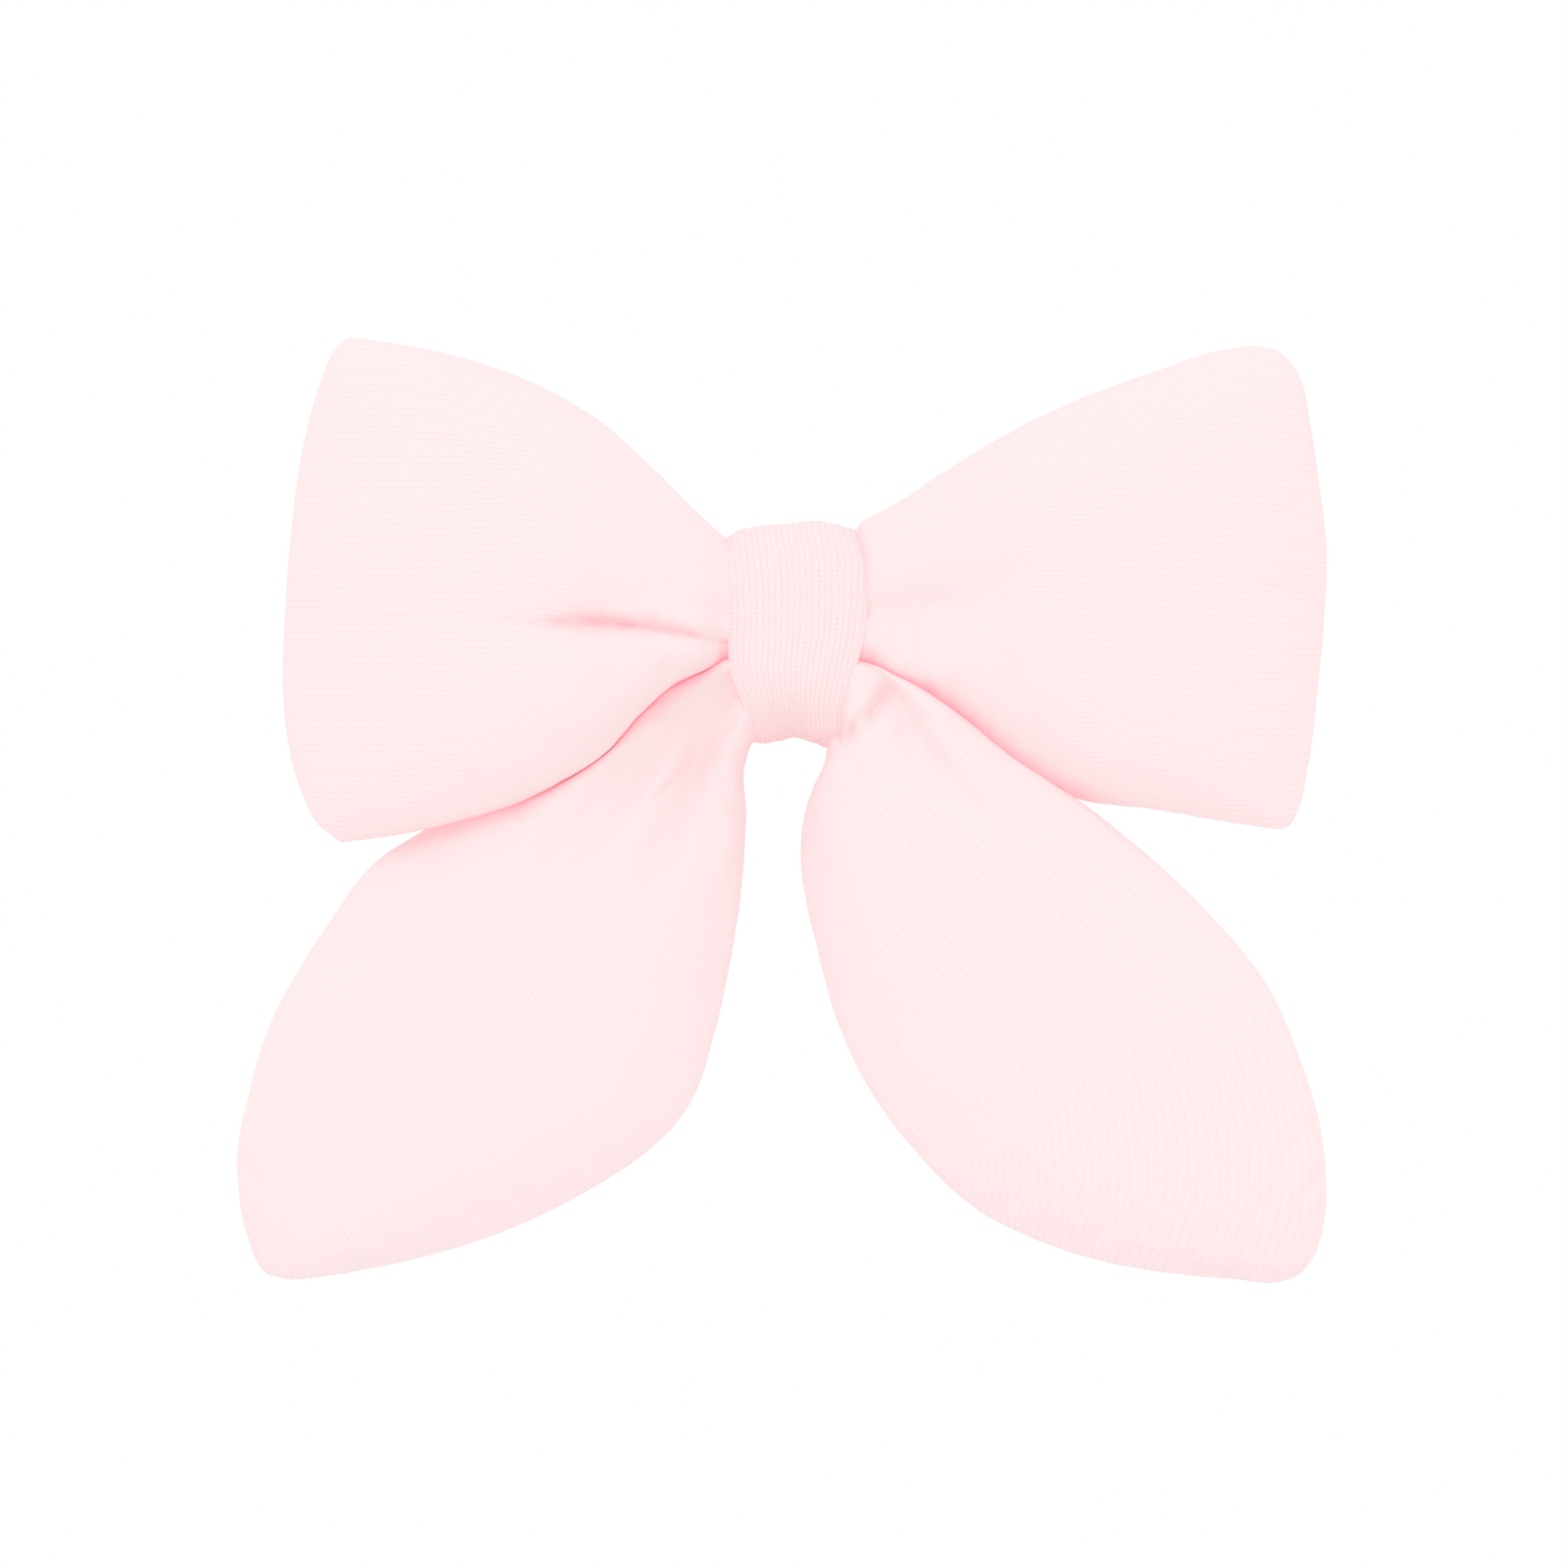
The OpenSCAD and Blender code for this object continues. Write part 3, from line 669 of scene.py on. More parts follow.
def joinStitches(left, right):  # the waist between the two sides is under the knot
    out = []
    for a, b in zip(left, right):
        bridge = [mix(a[0], b[0], k)[None] for k in waistColumns]
        out.append(np.concatenate([a[::-1], *bridge, b]))
    return out


clothSettings = {
    "scale": 20,  # the trial piece is this much larger, since cloth works best in metres
    "stretch": 15,  # stiffness against being pulled
    "bend": 0.4,  # stiffness against folding
    "mass": 0.3,  # kg a point
    "quality": 6,  # steps a frame
    "shrink": -0.012,  # below 0 the fabric grows a little and so creases
    "pressure": 2.5,  # of the wadding, outwards
    "frames": 20,
    "limit": 0.7,  # mm that any point may move in the end
}


def swellCloth(piece, held, settings):  # wadding presses the cover out; small creases form at the seams
    big = settings["scale"]
    trial = piece.copy()
    trial.data = piece.data.copy()
    scene.collection.objects.link(trial)
    rest = np.array([v.co for v in piece.data.vertices])
    trial.data.vertices.foreach_set("co", (rest * big).astype(np.float32).ravel())
    group = trial.vertex_groups.new(name="held")
    for level in np.unique(np.round(held, 1)):
        if level > 0:
            group.add(np.flatnonzero(np.round(held, 1) == level).tolist(), float(level), "REPLACE")
    cloth = trial.modifiers.new("cover", "CLOTH")
    cloth.settings.quality = settings["quality"]
    cloth.settings.mass = settings["mass"]
    cloth.settings.tension_stiffness = settings["stretch"]
    cloth.settings.compression_stiffness = settings["stretch"]
    cloth.settings.shear_stiffness = settings["stretch"] / 3
    cloth.settings.bending_stiffness = settings["bend"]
    cloth.settings.vertex_group_mass = "held"
    cloth.settings.shrink_min = settings["shrink"]
    cloth.settings.use_pressure = True
    cloth.settings.uniform_pressure_force = settings["pressure"]
    cloth.settings.effector_weights.gravity = 0
    cloth.point_cache.frame_start = 1
    cloth.point_cache.frame_end = settings["frames"]
    for step in range(1, settings["frames"] + 1):
        scene.frame_set(step)
    evaluated = trial.evaluated_get(bpy.context.evaluated_depsgraph_get())
    moved = np.array([v.co for v in evaluated.data.vertices]) / big - rest
    reach = np.linalg.norm(moved, axis=1)
    limit = settings["limit"] * mm
    print("   cover moved by up to %.2f mm, %.2f mm on average" % (reach.max() / mm, reach.mean() / mm))
    moved *= (limit * np.tanh(reach / limit) / np.maximum(reach, 1e-9))[:, None]
    piece.data.vertices.foreach_set("co", (rest + moved).astype(np.float32).ravel())
    bpy.data.objects.remove(trial)
    scene.frame_set(1)


def solidTree(*pieces):  # the faces of one or more pieces, for rays and nearest points
    points, faces = [], []
    for piece in pieces:
        faces += [[i + len(points) for i in face.vertices] for face in piece.data.polygons]
        points += [v.co.copy() for v in piece.data.vertices]
    return BVHTree.FromPolygons(points, faces)


def readPoints(piece):
    flat = np.empty(len(piece.data.vertices) * 3, np.float32)
    piece.data.vertices.foreach_get("co", flat)
    return flat.reshape(-1, 3).astype(float)


def writePoints(piece, points):
    piece.data.vertices.foreach_set("co", points.astype(np.float32).ravel())
    piece.data.update()


def smoothShift(piece, shift, rounds):  # spreads a shift over neighbouring points so that fabric stays even
    ends = np.empty(len(piece.data.edges) * 2, np.int32)
    piece.data.edges.foreach_get("vertices", ends)
    ends = ends.reshape(-1, 2)
    count = np.bincount(ends.ravel(), minlength=len(shift))[:, None]
    for _ in range(rounds):
        total = np.zeros_like(shift)
        np.add.at(total, ends[:, 0], shift[ends[:, 1]])
        np.add.at(total, ends[:, 1], shift[ends[:, 0]])
        shift = 0.5 * shift + 0.5 * total / count
    return shift


contact = {
    "underBand": 0.05,  # mm from the covers to the band's inside
    "besideBand": 1.6,  # mm that a cover may rise for each mm away from the band's edge
    "bandReach": 2,  # mm beside the band where it still holds the covers
    "clear": 0.08,  # mm kept between the tails and the loops
    "thick": 0.9,  # mm between the two faces of a cover that is moved aside
    "lookAhead": 8,  # mm within which a neighbour is looked for
    "rounds": 5,
    "wadding": 0.35,  # mm of the cover's own thickness that wadding stays out of
}


def pressUnder(piece, tree, axis, edges):  # keeps a cover inside the band drawn round it
    gap, rise = contact["underBand"] * mm, contact["besideBand"]
    start = readPoints(piece)
    low = np.interp(start[:, 2], *edges[0])
    high = np.interp(start[:, 2], *edges[1])
    beyond = np.maximum(np.maximum(start[:, 0] - high, low - start[:, 0]), 0)
    shift = np.zeros_like(start)
    for k in np.flatnonzero((beyond < contact["bandReach"] * mm) & (start[:, 2] > edges[0][0][0])):
        x = min(max(start[k, 0], low[k]), high[k])
        outward = Vector((0, start[k, 1] - axis[0], start[k, 2] - axis[1]))
        met = tree.ray_cast(Vector((x, *axis)), outward.normalized(), 0.03)[3]
        if met is not None and outward.length > met - gap + rise * beyond[k]:
            shift[k] = outward.normalized() * (met - gap + rise * beyond[k] - outward.length)
    writePoints(piece, start + shift)


def pressClear(piece, other):  # moves a cover out of its neighbour, both of its faces in order
    gap, thick = contact["clear"] * mm, contact["thick"] * mm
    tree = solidTree(other)
    start = readPoints(piece)
    normals = np.array([v.normal for v in piece.data.vertices])
    shift = np.zeros_like(start)
    for trip in range(contact["rounds"]):
        place = start + shift
        for k in range(len(place)):
            spot, outward, _, distance = tree.find_nearest(Vector(place[k]), contact["lookAhead"] * mm)
            if spot is None:
                continue
            farFace = Vector(normals[k]).dot(outward) > 0.2
            need = thick if farFace else gap
            height = (Vector(place[k]) - spot).dot(outward)
            if height < 0 or (not farFace and height < need and distance < need):
                shift[k] += np.array(outward) * (need - height)
        if trip < contact["rounds"] - 1:
            shift = smoothShift(piece, shift, 3)
    writePoints(piece, start + shift)
    moved = np.linalg.norm(shift, axis=1)
    print("   %s pressed clear of %s by up to %.2f mm" % (piece.name, other.name, moved.max() / mm))


# how closed in each place is, for the painted shade and glow in the folds
paintedFoldShadeMeasure = {
    "reach": 9,  # mm that a ray looks for other fabric
    "rings": ((0.4, 5), (0.8, 8), (1.15, 10)),  # radians off the surface's normal, rays at that tilt
    "lift": 0.08,  # mm off the surface where rays start
    "open": 0.15,  # share closed off that still counts as open
    "span": 0.55,  # from there to fully tucked in
}


def markPaintedFoldShade(pieces):  # share of the open hemisphere that other fabric closes off within a short reach, kept as painted fold shade
    reach, rings = paintedFoldShadeMeasure["reach"] * mm, paintedFoldShadeMeasure["rings"]
    tree = solidTree(*pieces)
    rays = np.array([(np.sin(tilt) * np.cos(turn), np.sin(tilt) * np.sin(turn), np.cos(tilt))
                     for tilt, count in rings for turn in np.arange(count) * 2 * np.pi / count])
    for piece in pieces:
        share = np.zeros(len(piece.data.vertices), np.float32)
        for k, vertex in enumerate(piece.data.vertices):
            out = np.array(vertex.normal)
            side = np.array(vertex.normal.orthogonal().normalized())
            turned = rays @ np.stack([side, np.cross(out, side), out])
            start = vertex.co + vertex.normal * paintedFoldShadeMeasure["lift"] * mm
            met = [tree.ray_cast(start, ray, reach)[3] for ray in turned.tolist()]
            share[k] = sum(1 - near / reach for near in met if near is not None) / len(rays)
        share = smoothShift(piece, share[:, None].astype(float), 2)[:, 0]
        mark = piece.data.attributes.new("paintedFoldShade", "FLOAT", "POINT")
        paintedFoldShade = ease((share - paintedFoldShadeMeasure["open"]) / paintedFoldShadeMeasure["span"])
        mark.data.foreach_set("value", paintedFoldShade.astype(np.float32))


def finishCover(piece):  # one round of smoothing between the modelled points
    smooth = piece.modifiers.new("smooth", "SUBSURF")
    smooth.levels = 1
    smooth.render_levels = 1
    applyModifiers(piece)


def heldShare(front, left, right):  # seams and the gathered waist stay where they are sewn
    columnCount, rowCount = front.shape[:2]
    inFromEnd = np.minimum(np.arange(columnCount), np.arange(columnCount)[::-1])[:, None]
    inFromSeam = np.minimum(np.arange(rowCount), np.arange(rowCount)[::-1])[None]
    seamHold = np.clip(1 - np.minimum(inFromEnd, inFromSeam) / 2, 0, 1)
    knotHold = np.clip(1 - (np.abs(front[..., 0] + 0.5) - 9) / 6, 0, 1)  # 9 mm to both sides, then less
    knotHold = knotHold * (front[..., 2] > -16)  # not the tails' inner seams below the knot
    hold = np.maximum(seamHold, knotHold)
    creased = hold.copy()
    middle = rowCount // 2
    waist = columnCount // 2
    for part, side in ((slice(0, waist), left), (slice(waist, None), right)):
        near = np.abs(front[part, middle, 0]) < side["creaseHeld"] * 55  # 55 mm from knot to tip
        rows = creased[part, middle - 1:middle + 2]
        rows[:] = np.maximum(rows, 0.9 * near[:, None])
    return np.concatenate([creased.ravel(), hold[1:-1, 1:-1].ravel()])


def makeCover(name, left, right, stitches, squeeze, cadNodes):
    sides = [layOutSide(left), layOutSide(right)]
    front = joinSides(sides[0][0], sides[1][0], squeeze)
    back = joinSides(sides[0][1], sides[1][1], squeeze)
    uvs = [joinStitches(stitches(sides[0][k], left), stitches(sides[1][k], right)) for k in (0, 1)]
    cover = closedGrid(name, front, back, jersey, uvs)
    swellCloth(cover, heldShare(front, left, right), clothSettings)
    fitToBow(cover, "pink_jersey", *cadNodes)
    print(name, "is sewn:", len(cover.data.vertices), "points")
    return cover, sides


def makeWadding(name, sides, cover, cadNode):  # a lump of fibrefill that fills most of the cover
    front, back = sides
    pick = np.flatnonzero((alongColumns > 0.13) & (alongColumns < 0.95))  # clear of the knot and the tip
    rows = np.flatnonzero(np.abs(acrossRows) < 0.9)
    front, back = front[np.ix_(pick, rows)], back[np.ix_(pick, rows)]
    if front[-1, 0, 0] < front[0, 0, 0]:
        front, back = front[::-1], back[::-1]
    centre = (front[..., 1] + back[..., 1]) / 2
    lumps = 0.12 * np.sin(front[..., 0] * 1.1) * np.sin(front[..., 2] * 0.9 + 1)
    front, back = front.copy(), back.copy()
    for grid, skin in ((front, -contact["wadding"]), (back, contact["wadding"])):
        grid[..., 1] = mix(centre, grid[..., 1] + skin, 0.8) + lumps * 0.6
    for grid in (front, back):
        grid[0, :, 1] = centre[0]
        grid[-1, :, 1] = centre[-1]
        grid[:, 0, 1] = centre[:, 0]
        grid[:, -1, 1] = centre[:, -1]
    lump = closedGrid(name, front, back, wadding)
    tree, points = solidTree(cover), readPoints(lump)
    for k, point in enumerate(points):  # nowhere nearer to the cover than the fibres can be pushed
        spot, outward, _, _ = tree.find_nearest(Vector(point))
        height = (Vector(point) - spot).dot(outward)
        points[k] = point + np.array(outward) * min(0, -contact["wadding"] * mm - height)
    writePoints(lump, points)
    fitToBow(lump, "polyester_wadding", cadNode)


loopCover, loopSides = makeCover("loopCover", loopLeft, loopRight, loopStitches, (-1.0, 0.14),
                                 ["loop_front_panel", "loop_back_panel"])
tailCover, tailSides = makeCover("tailCover", tailLeft, tailRight, tailStitches, (-2.6, 0.22),
                                 ["tail_front_panel", "tail_back_panel"])


# The knot: a doubled jersey band round both waists and the clip's arm

knot = {
    "thickness": 0.95,  # mm, two layers drawn tight
    "corner": 6.5,  # mm, radius of the band's corners seen from the side
    "crown": 0.1,  # mm that its front stands out in the middle
    "curl": 0.6,  # mm that its two edges press in
    # z, then x of its left and right edges
    "left": [(-13.4, -4.6), (-12.1, -5.1), (-9.8, -5.2), (-6.3, -6.5), (-3.6, -7.3), (-0.3, -7.5),
             (6.8, -7.6), (10.8, -8.2), (13, -8.2)],
    "right": [(-13.4, 3.4), (-12.9, 3.4), (-10.9, 5.1), (-8.4, 5), (-1.9, 6.7), (0.1, 7.2), (3.8, 7.6),
              (8.6, 7.5), (12.4, 6.5), (13, 6.4)],
    # x, then z of its top and bottom
    "top": [(-8.3, 11.3), (-6.4, 12.1), (-4.3, 12.3), (2.4, 12.9), (5.8, 12.5), (7.7, 12.4)],
    "bottom": [(-7.6, -12.9), (-4.8, -12.3), (-2.7, -11.7), (-0.4, -11.1), (1, -11.4), (3.4, -12.9),
               (7.6, -13.2)],
    "hem": (1.1, 0.25, 0.2),  # mm from the right edge to the fold's groove, its half width, its depth
    "gather": (0.04, 0.16),  # mm of the small folds along the band, all round and below its middle
    "inset": 0.6,  # mm from the band's edges to where the covers lie fully under it
    "lowPaintedFoldShade": 0.5,  # share of the painted fold shade added on the band's lower part
    "columns": 21,  # columns of stitches across the band
    "roundSteps": 150,
    "acrossSteps": 34,
}


def roundedRing(low, high, corner, count):  # points and outward directions on a rounded oblong, y and z
    dense = []
    for quarter in range(4):
        cy = (high[0] - corner) if quarter in (0, 3) else (low[0] + corner)
        cz = (high[1] - corner) if quarter in (0, 1) else (low[1] + corner)
        for a in np.linspace(quarter * 90, quarter * 90 + 90, 30):
            r = np.radians(a)
            dense.append((cy + corner * np.cos(r), cz + corner * np.sin(r), np.cos(r), np.sin(r)))
    dense = np.array(dense + dense[:1])
    step = np.linalg.norm(np.diff(dense[:, :2], axis=0), axis=1)
    at = np.concatenate([[0], np.cumsum(step)])
    where = np.linspace(0, at[-1], count, endpoint=False)
    out = np.stack([np.interp(where, at, dense[:, k]) for k in range(4)], -1)
    return out, at[-1]


ringLow, ringHigh = [np.array(c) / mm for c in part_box("centre_wrap")]
halfThick = knot["thickness"] / 2
ring, ringLength = roundedRing(ringLow[1:] + halfThick, ringHigh[1:] - halfThick, knot["corner"],
                               knot["roundSteps"])
# cross-section of the doubled band: outer face, round edge, inner face, round edge
outerX = spread(knot["acrossSteps"], 0.3)
section = [(x, 1.0) for x in outerX]
section += [(1 + 0.5 * np.sin(a), np.cos(a)) for a in np.linspace(0, np.pi, 7)[1:-1]]
section += [(x, -1.0) for x in outerX[::-2]]
section += [(-0.5 * np.sin(a), -np.cos(a)) for a in np.linspace(0, np.pi, 7)[1:-1]]
section = np.array(section)
hemPlace, hemWidth, hemDepth = knot["hem"]
bandPoints, bandUvs = [], []
for k, (y, z, ny, nz) in enumerate(ring):  # one section after another, round the waists and the clip's arm
    leftEdge = np.interp(z, *np.array(knot["left"]).T) + halfThick * 0.5
    rightEdge = np.interp(z, *np.array(knot["right"]).T) - halfThick * 0.5
    inside = np.clip(section[:, 0], 0, 1)
    x = mix(leftEdge, rightEdge, inside) + (section[:, 0] - inside) * knot["thickness"]
    outward = section[:, 1] * halfThick
    isOuter = section[:, 1] > 0.5
    gather = knot["gather"][1] * ease((-z - 2) / 6) * (1 - ease((-z - 9) / 3)) + knot["gather"][0]
    waves = inside * 2 * np.pi
    folds = gather * (np.sin(waves * 3.2 + 0.7 + z * 0.05) + 0.6 * np.sin(waves * 5.3 + 2))
    folds *= np.sin(np.pi * np.clip(inside, 0.02, 0.98)) ** 0.5 * isOuter
    fromRight = (1 - inside) * (rightEdge - leftEdge)
    hemGroove = hemDepth * np.exp(-((fromRight - hemPlace) / hemWidth) ** 2) * isOuter
    crown = knot["crown"] * (1 - ((z + 0.3) / 13) ** 2) * (ny < -0.5)
    curl = knot["curl"] * np.abs(2 * inside - 1) ** 4
    shift = outward + folds - hemGroove + crown - curl
    topHere = np.interp(x, *np.array(knot["top"]).T) / ringHigh[2]
    bottomHere = np.interp(x, *np.array(knot["bottom"]).T) / ringLow[2]
    zz = z + nz * shift
    zz = np.where(zz > 0, zz * mix(1, topHere, ease(zz / 9)), zz * mix(1, bottomHere, ease(-zz / 9)))
    bandPoints.append(np.stack([x, y + ny * shift, zz], -1))
    across = inside * knot["columns"] + (section[:, 0] - inside) * knot["thickness"] / knit["wale"]
    row = k * ringLength / knot["roundSteps"] / knit["course"]
    bandUvs.append(np.stack([across, np.full(len(x), row)], -1))
bandPoints, bandUvs = np.array(bandPoints), np.array(bandUvs)
roundCount, sectionCount = bandPoints.shape[:2]
bandUvs = np.concatenate([bandUvs, bandUvs[:1] + [0, ringLength / knit["course"]]])
bandUvs = np.concatenate([bandUvs, bandUvs[:, -1:] + [0.3, 0]], axis=1)
faces, faceUvs = [], []
for i in range(roundCount):
    for j in range(sectionCount):
        i2, j2 = (i + 1) % roundCount, (j + 1) % sectionCount
        here, there = i * sectionCount, i2 * sectionCount
        faces.append((here + j, there + j, there + j2, here + j2))
        faceUvs += [bandUvs[i, j], bandUvs[i + 1, j], bandUvs[i + 1, j + 1], bandUvs[i, j + 1]]
band = makePiece("knotBand", bandPoints.reshape(-1, 3), faces, drawnJersey, faceUvs)
bandTree = solidTree(band)
bandMiddle = (-(view["seamDepth"] - 0.7) * mm, -0.5 * mm)
bandEdges = [np.array(knot[edge]).T * mm + [[0], [inset * mm]]
             for edge, inset in (("left", knot["inset"]), ("right", -knot["inset"]))]
for firstTime in (True, False):
    for cover in (loopCover, tailCover):
        pressUnder(cover, bandTree, bandMiddle, bandEdges)
    if firstTime:
        pressClear(tailCover, loopCover)
# painted shade and glow in the folds of the covers and the band
markPaintedFoldShade([loopCover, tailCover, band])
for name, sides, cover in (("loop", loopSides, loopCover), ("tail", tailSides, tailCover)):
    for side, hand in zip(sides, ("Left", "Right")):
        makeWadding(name + "Wadding" + hand, side, cover, name + "_pad_" + hand.lower())
print("covers are stuffed")
# painted pink shade on the band's lower part, for the pink light that the tails on both sides throw on it
mark = band.data.attributes["paintedFoldShade"].data
paintedShadeLowOnBand = ease((-bandPoints[..., 2].ravel() - 3) / 9)
for point, low in zip(mark, paintedShadeLowOnBand):
    point.value = min(1, point.value + knot["lowPaintedFoldShade"] * low)
for piece in (loopCover, tailCover, band):
    finishCover(piece)
fitToBow(band, "pink_jersey", "centre_wrap")
print("knot is wrapped")


# Threads and spring: round wires along routes

def makeWire(name, routes, radius, material, closed=False):
    curve = bpy.data.curves.new(name, "CURVE")
    curve.dimensions = "3D"
    curve.bevel_depth = radius * mm
    curve.bevel_resolution = 3
    curve.use_fill_caps = True
    for route in routes:
        spline = curve.splines.new("POLY")
        spline.points.add(len(route) - 1)
        flat = np.concatenate([np.asarray(route) * mm, np.ones((len(route), 1))], axis=1)
        spline.points.foreach_set("co", flat.ravel())
        spline.use_cyclic_u = closed
    holder = bpy.data.objects.new(name + "Route", curve)
    scene.collection.objects.link(holder)
    mesh = bpy.data.meshes.new_from_object(holder.evaluated_get(bpy.context.evaluated_depsgraph_get()))
    bpy.data.objects.remove(holder)
    mesh.name = name
    return addPiece(name, mesh, material)


gatherThread = {
    "turns": (-1.2, 0, 1.2),  # mm across the waist
    "strands": 2,
    "strandGap": 0.3,  # mm between the strands' middles
    "stray": 0.08,  # mm that a strand strays to both sides
    "radius": 0.16,
    "halfDepth": 5.5,  # mm from the seams' depth to its front and back
    "top": 10.6,
    "bottom": -10.2,
}


def bulge(wave, power):  # turns a round wave into the flatter one of a pressed oval
    return np.sign(wave) * np.abs(wave) ** power


tall = (gatherThread["top"] - gatherThread["bottom"]) / 2
middleZ = (gatherThread["top"] + gatherThread["bottom"]) / 2
a = np.linspace(0, 2 * np.pi, 90, endpoint=False)
routes = []
for turnX in gatherThread["turns"]:
    for strand in range(gatherThread["strands"]):
        x = turnX + (strand - 0.5) * gatherThread["strandGap"]
        x = x + gatherThread["stray"] * np.sin(a * 2 + turnX)
        y = -view["seamDepth"] + gatherThread["halfDepth"] * bulge(np.cos(a), 0.6)
        routes.append(np.stack([x, y, middleZ + tall * bulge(np.sin(a), 0.75)], -1))
turns = makeWire("gatherThreadTurns", routes, gatherThread["radius"], thread, closed=True)
fitToBow(turns, "pink_thread", "gather_thread")

handStitch = {
    "count": 5,
    "radius": 0.15,
    "length": 2.0,
    "tilt": 12,  # degrees from upright
    "unevenTilt": 5,  # degrees more or less from stitch to stitch
    "inset": 0.4,  # mm from the row's end to its outermost stitch
    "rise": 0.2,  # mm that a stitch rises from its ends to its middle
    "sunk": 0.1,  # mm that its ends sink into the band
}
stitchLow, stitchHigh = [np.array(c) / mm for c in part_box("wrap_stitches")]
behind = solidTree(band)
routes = []
for k in range(handStitch["count"]):
    x = mix(stitchLow[0] + handStitch["inset"], stitchHigh[0] - handStitch["inset"],
            k / (handStitch["count"] - 1))
    s = np.linspace(-1, 1, 15)
    tilt = np.radians(handStitch["tilt"] + handStitch["unevenTilt"] * np.sin(k * 2.1))
    along = s * handStitch["length"] / 2
    xs = x + along * np.sin(tilt)
    zs = (stitchLow[2] + stitchHigh[2]) / 2 + along * np.cos(tilt)
    # each stitch lies on the band's back and dives into it at both ends
    starts = [Vector((a, 5, b)) * mm for a, b in zip(xs, zs)]
    face = [behind.ray_cast(start, Vector((0, -1, 0)), 0.02)[0].y / mm for start in starts]
    ys = np.array(face) - handStitch["sunk"] + handStitch["rise"] * (1 - s ** 4)
    routes.append(np.stack([xs, ys, zs], -1))
sewn = makeWire("closingStitches", routes, handStitch["radius"], thread)
fitToBow(sewn, "pink_thread", "wrap_stitches")


# Ribbon on the clip's arm

ribbon = {
    "thickness": 0.33,
    "rib": 0.85,  # mm from one rib to the next
    "ribHeight": 0.045,
    "backLegEnd": 10.0,  # x in mm where its end lies behind the arm
    "bend": 0.45,  # mm, radius round the arm's tip
    "step": 0.1,  # mm between sections, fine enough for the ribs
}
ribbonLow, ribbonHigh = [np.array(c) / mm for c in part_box("arm_ribbon")]
halfRibbon = ribbon["thickness"] / 2
frontY, backY, tipX = ribbonLow[1] + halfRibbon, ribbonHigh[1] - halfRibbon, ribbonLow[0] + halfRibbon
bend = ribbon["bend"]
quarter = np.linspace(0, np.pi / 2, 8)
corner = [(tipX + bend * (1 - np.sin(a)), frontY + bend * (1 - np.cos(a))) for a in quarter]
backCorner = [(tipX + bend * (1 - np.cos(a)), backY - bend * (1 - np.sin(a))) for a in quarter]
path = np.array([(ribbonHigh[0], frontY), *corner, *backCorner, (ribbon["backLegEnd"], backY)])
step = np.linalg.norm(np.diff(path, axis=0), axis=1)
keep = np.concatenate([[True], step > 1e-6])
path = path[keep]
at = np.concatenate([[0], np.cumsum(np.linalg.norm(np.diff(path, axis=0), axis=1))])
where = np.arange(0, at[-1], ribbon["step"])
path = np.stack([np.interp(where, at, path[:, k]) for k in (0, 1)], -1)
direction = np.gradient(path, axis=0)
direction /= np.linalg.norm(direction, axis=1)[:, None]
outward = np.stack([direction[:, 1], -direction[:, 0]], -1)
outward *= np.sign(((path - path.mean(axis=0)) * outward).sum(axis=1).mean())
widths = np.concatenate([[-1, -0.97], np.linspace(-0.9, 0.9, 7), [0.97, 1]])
halfWidth = (ribbonHigh[2] - ribbonLow[2]) / 2
ribbonSection = [(w, 1) for w in widths] + [(w, -1) for w in widths[::-1]]
ribbonPoints = []
for k, (point, out) in enumerate(zip(path, outward)):
    rib = ribbon["ribHeight"] * (abs(np.sin(np.pi * where[k] / ribbon["rib"])) - 0.5)
    for w, face in ribbonSection:
        selvedge = 1 if abs(w) < 0.95 else (0.8 if abs(w) < 0.99 else 0.35)  # thinner at its edges
        depth = face * (halfRibbon * selvedge + rib)
        ribbonPoints.append((point[0] + out[0] * depth, point[1] + out[1] * depth, w * halfWidth))
m = len(ribbonSection)
faces = [(i * m + j, i * m + (j + 1) % m, (i + 1) * m + (j + 1) % m, (i + 1) * m + j)
         for i in range(len(path) - 1) for j in range(m)]
faces += [(j, m - 1 - j, m - 2 - j, j + 1) for j in range(m // 2 - 1)]
last = (len(path) - 1) * m
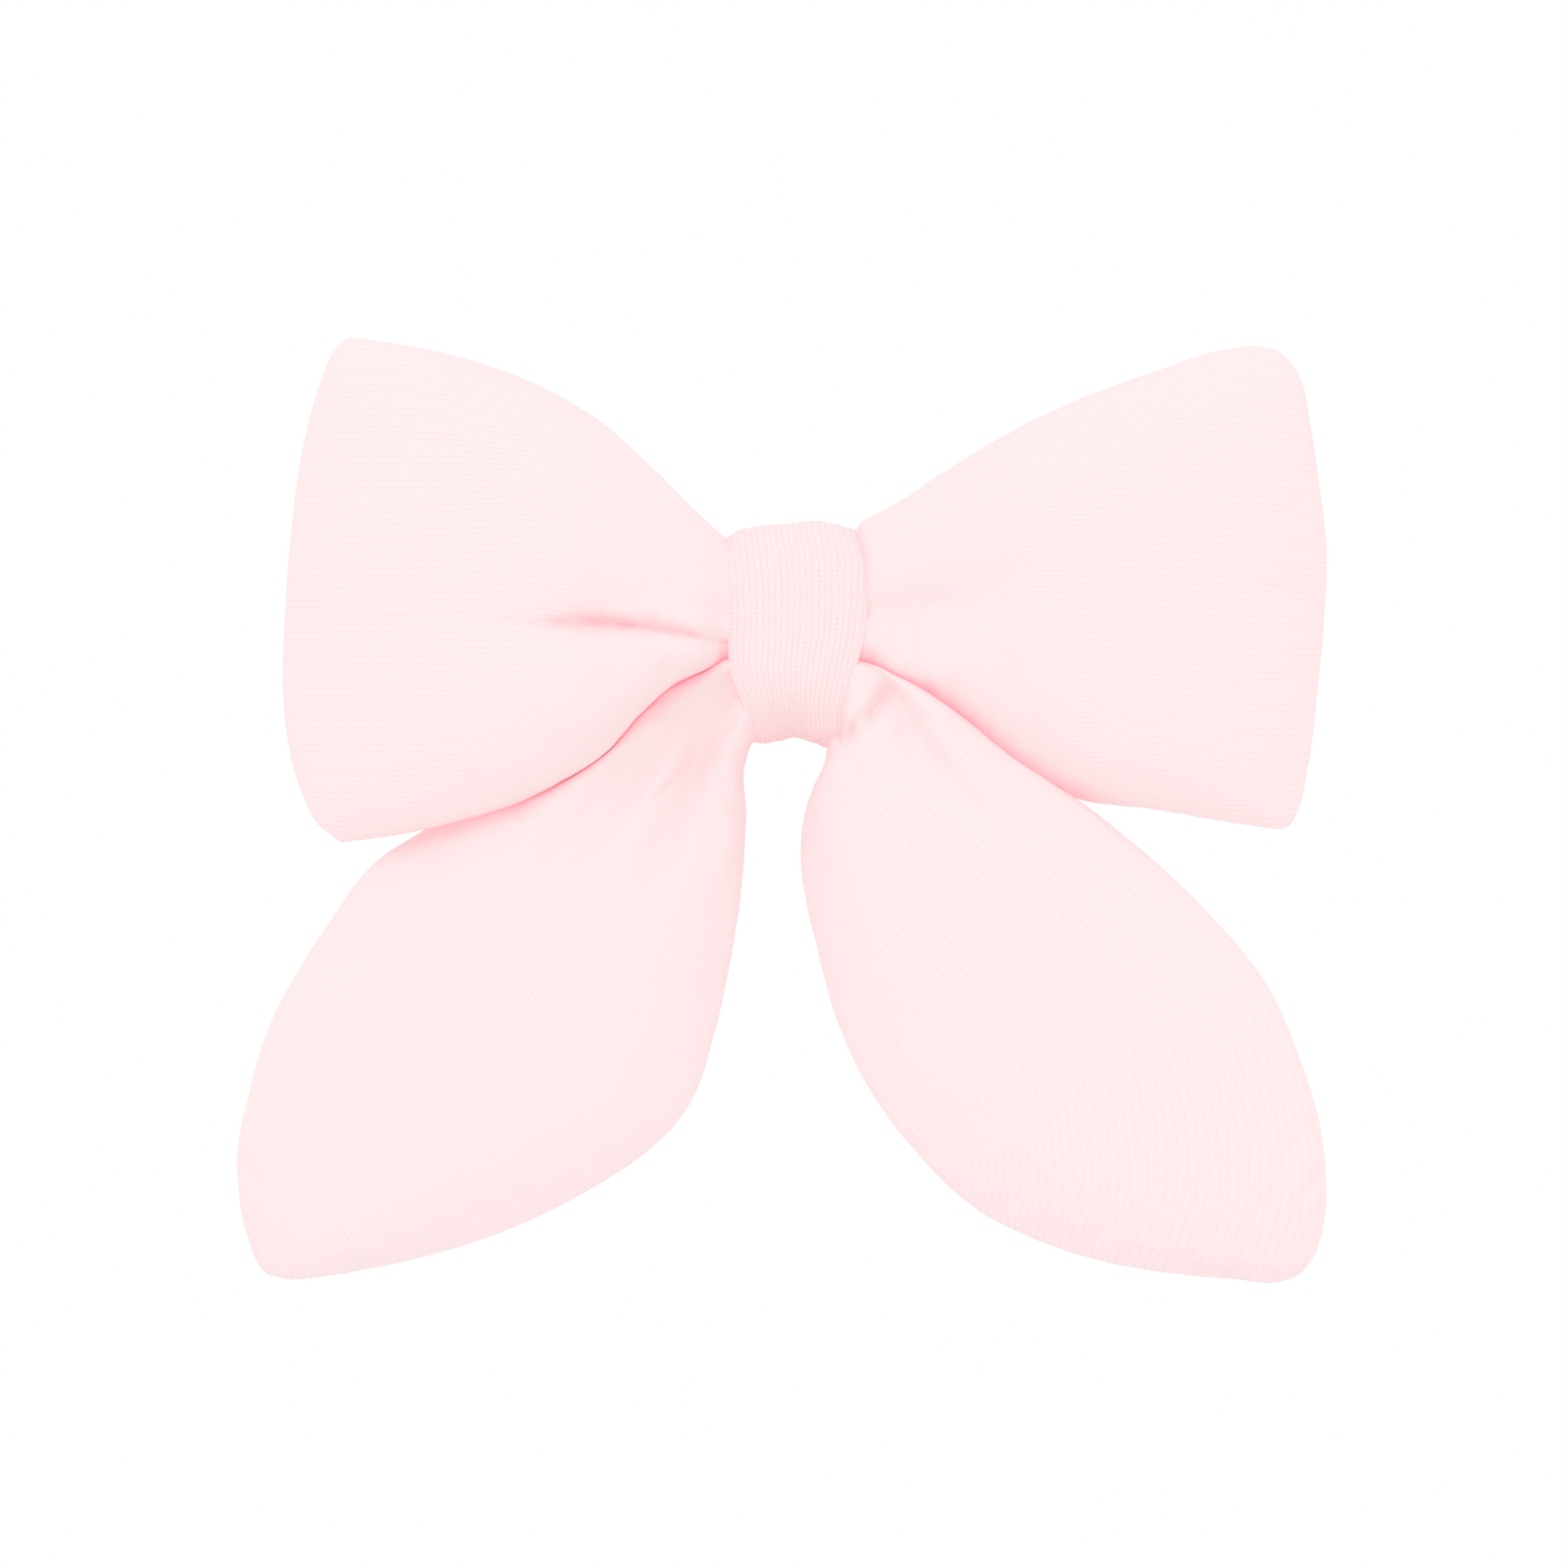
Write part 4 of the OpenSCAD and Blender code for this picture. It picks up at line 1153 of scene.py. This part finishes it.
faces += [(last + j, last + j + 1, last + m - 2 - j, last + m - 1 - j) for j in range(m // 2 - 1)]
armRibbon = makePiece("grosgrainRibbon", ribbonPoints, faces, grosgrain)
fitToBow(armRibbon, "grosgrain_ribbon", "arm_ribbon")
print("ribbon is folded round the arm")


# Steel parts and glue

spring = {
    "radius": 0.3,  # mm, of the wire
    "coil": 1.3,  # mm from the pin's axis to the wire's middle
    "turns": 5,
    "pitch": 0.7,  # mm from one turn to the next
    "leg": 8.5,  # mm
    "lever": 25,  # degrees that the jaw's leg stands off
    "start": 0.4,  # mm of straight wire before it bends
    "bendReach": 1.2,  # mm to both sides of the pin
}


def coilPoint(a, z):
    return np.array([hinge[0] + spring["coil"] * np.cos(a), hinge[1] + spring["coil"] * np.sin(a), z])


sweep = np.radians(360 * spring["turns"] - 180 + spring["lever"])
startAngle = -np.pi / 2
halfCoil = spring["turns"] * spring["pitch"] / 2
coil = [coilPoint(startAngle - sweep * s, mix(-halfCoil, halfCoil, s)) for s in np.linspace(0, 1, 150)]
lever = np.array([np.cos(np.radians(spring["lever"])), np.sin(np.radians(spring["lever"])), 0])
route = [coil[0] + np.array([spring["leg"], 0, 0]), coil[0] + np.array([spring["start"], 0, 0]), *coil,
         coil[-1] + spring["start"] * lever, coil[-1] + spring["leg"] * lever]
bend = np.array([0, spring["bendReach"] * mm, 0])
springPiece = makeWire("torsionSpring", [route], spring["radius"], springWire)
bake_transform(springPiece)
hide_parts("clip_spring")

bevels = {"segments": 2, "sharpFrom": 35}  # degrees between faces from which an edge is rounded
for name, material, roundness in (("clip_upper_arm", plated, 0.12), ("clip_lower_jaw", plated, 0.12),
                                  ("clip_pin", plated, 0.15), ("glue_pad", glue, 0.14)):
    part = frame["nodes"][name]
    setMaterial(part, material)
    edges = part.modifiers.new("softEdges", "BEVEL")
    edges.width = roundness * mm
    edges.segments = bevels["segments"]
    edges.limit_method = "ANGLE"
    edges.angle_limit = np.radians(bevels["sharpFrom"])
    part.modifiers.new("shading", "WEIGHTED_NORMAL").keep_sharp = True
print("clip is finished")
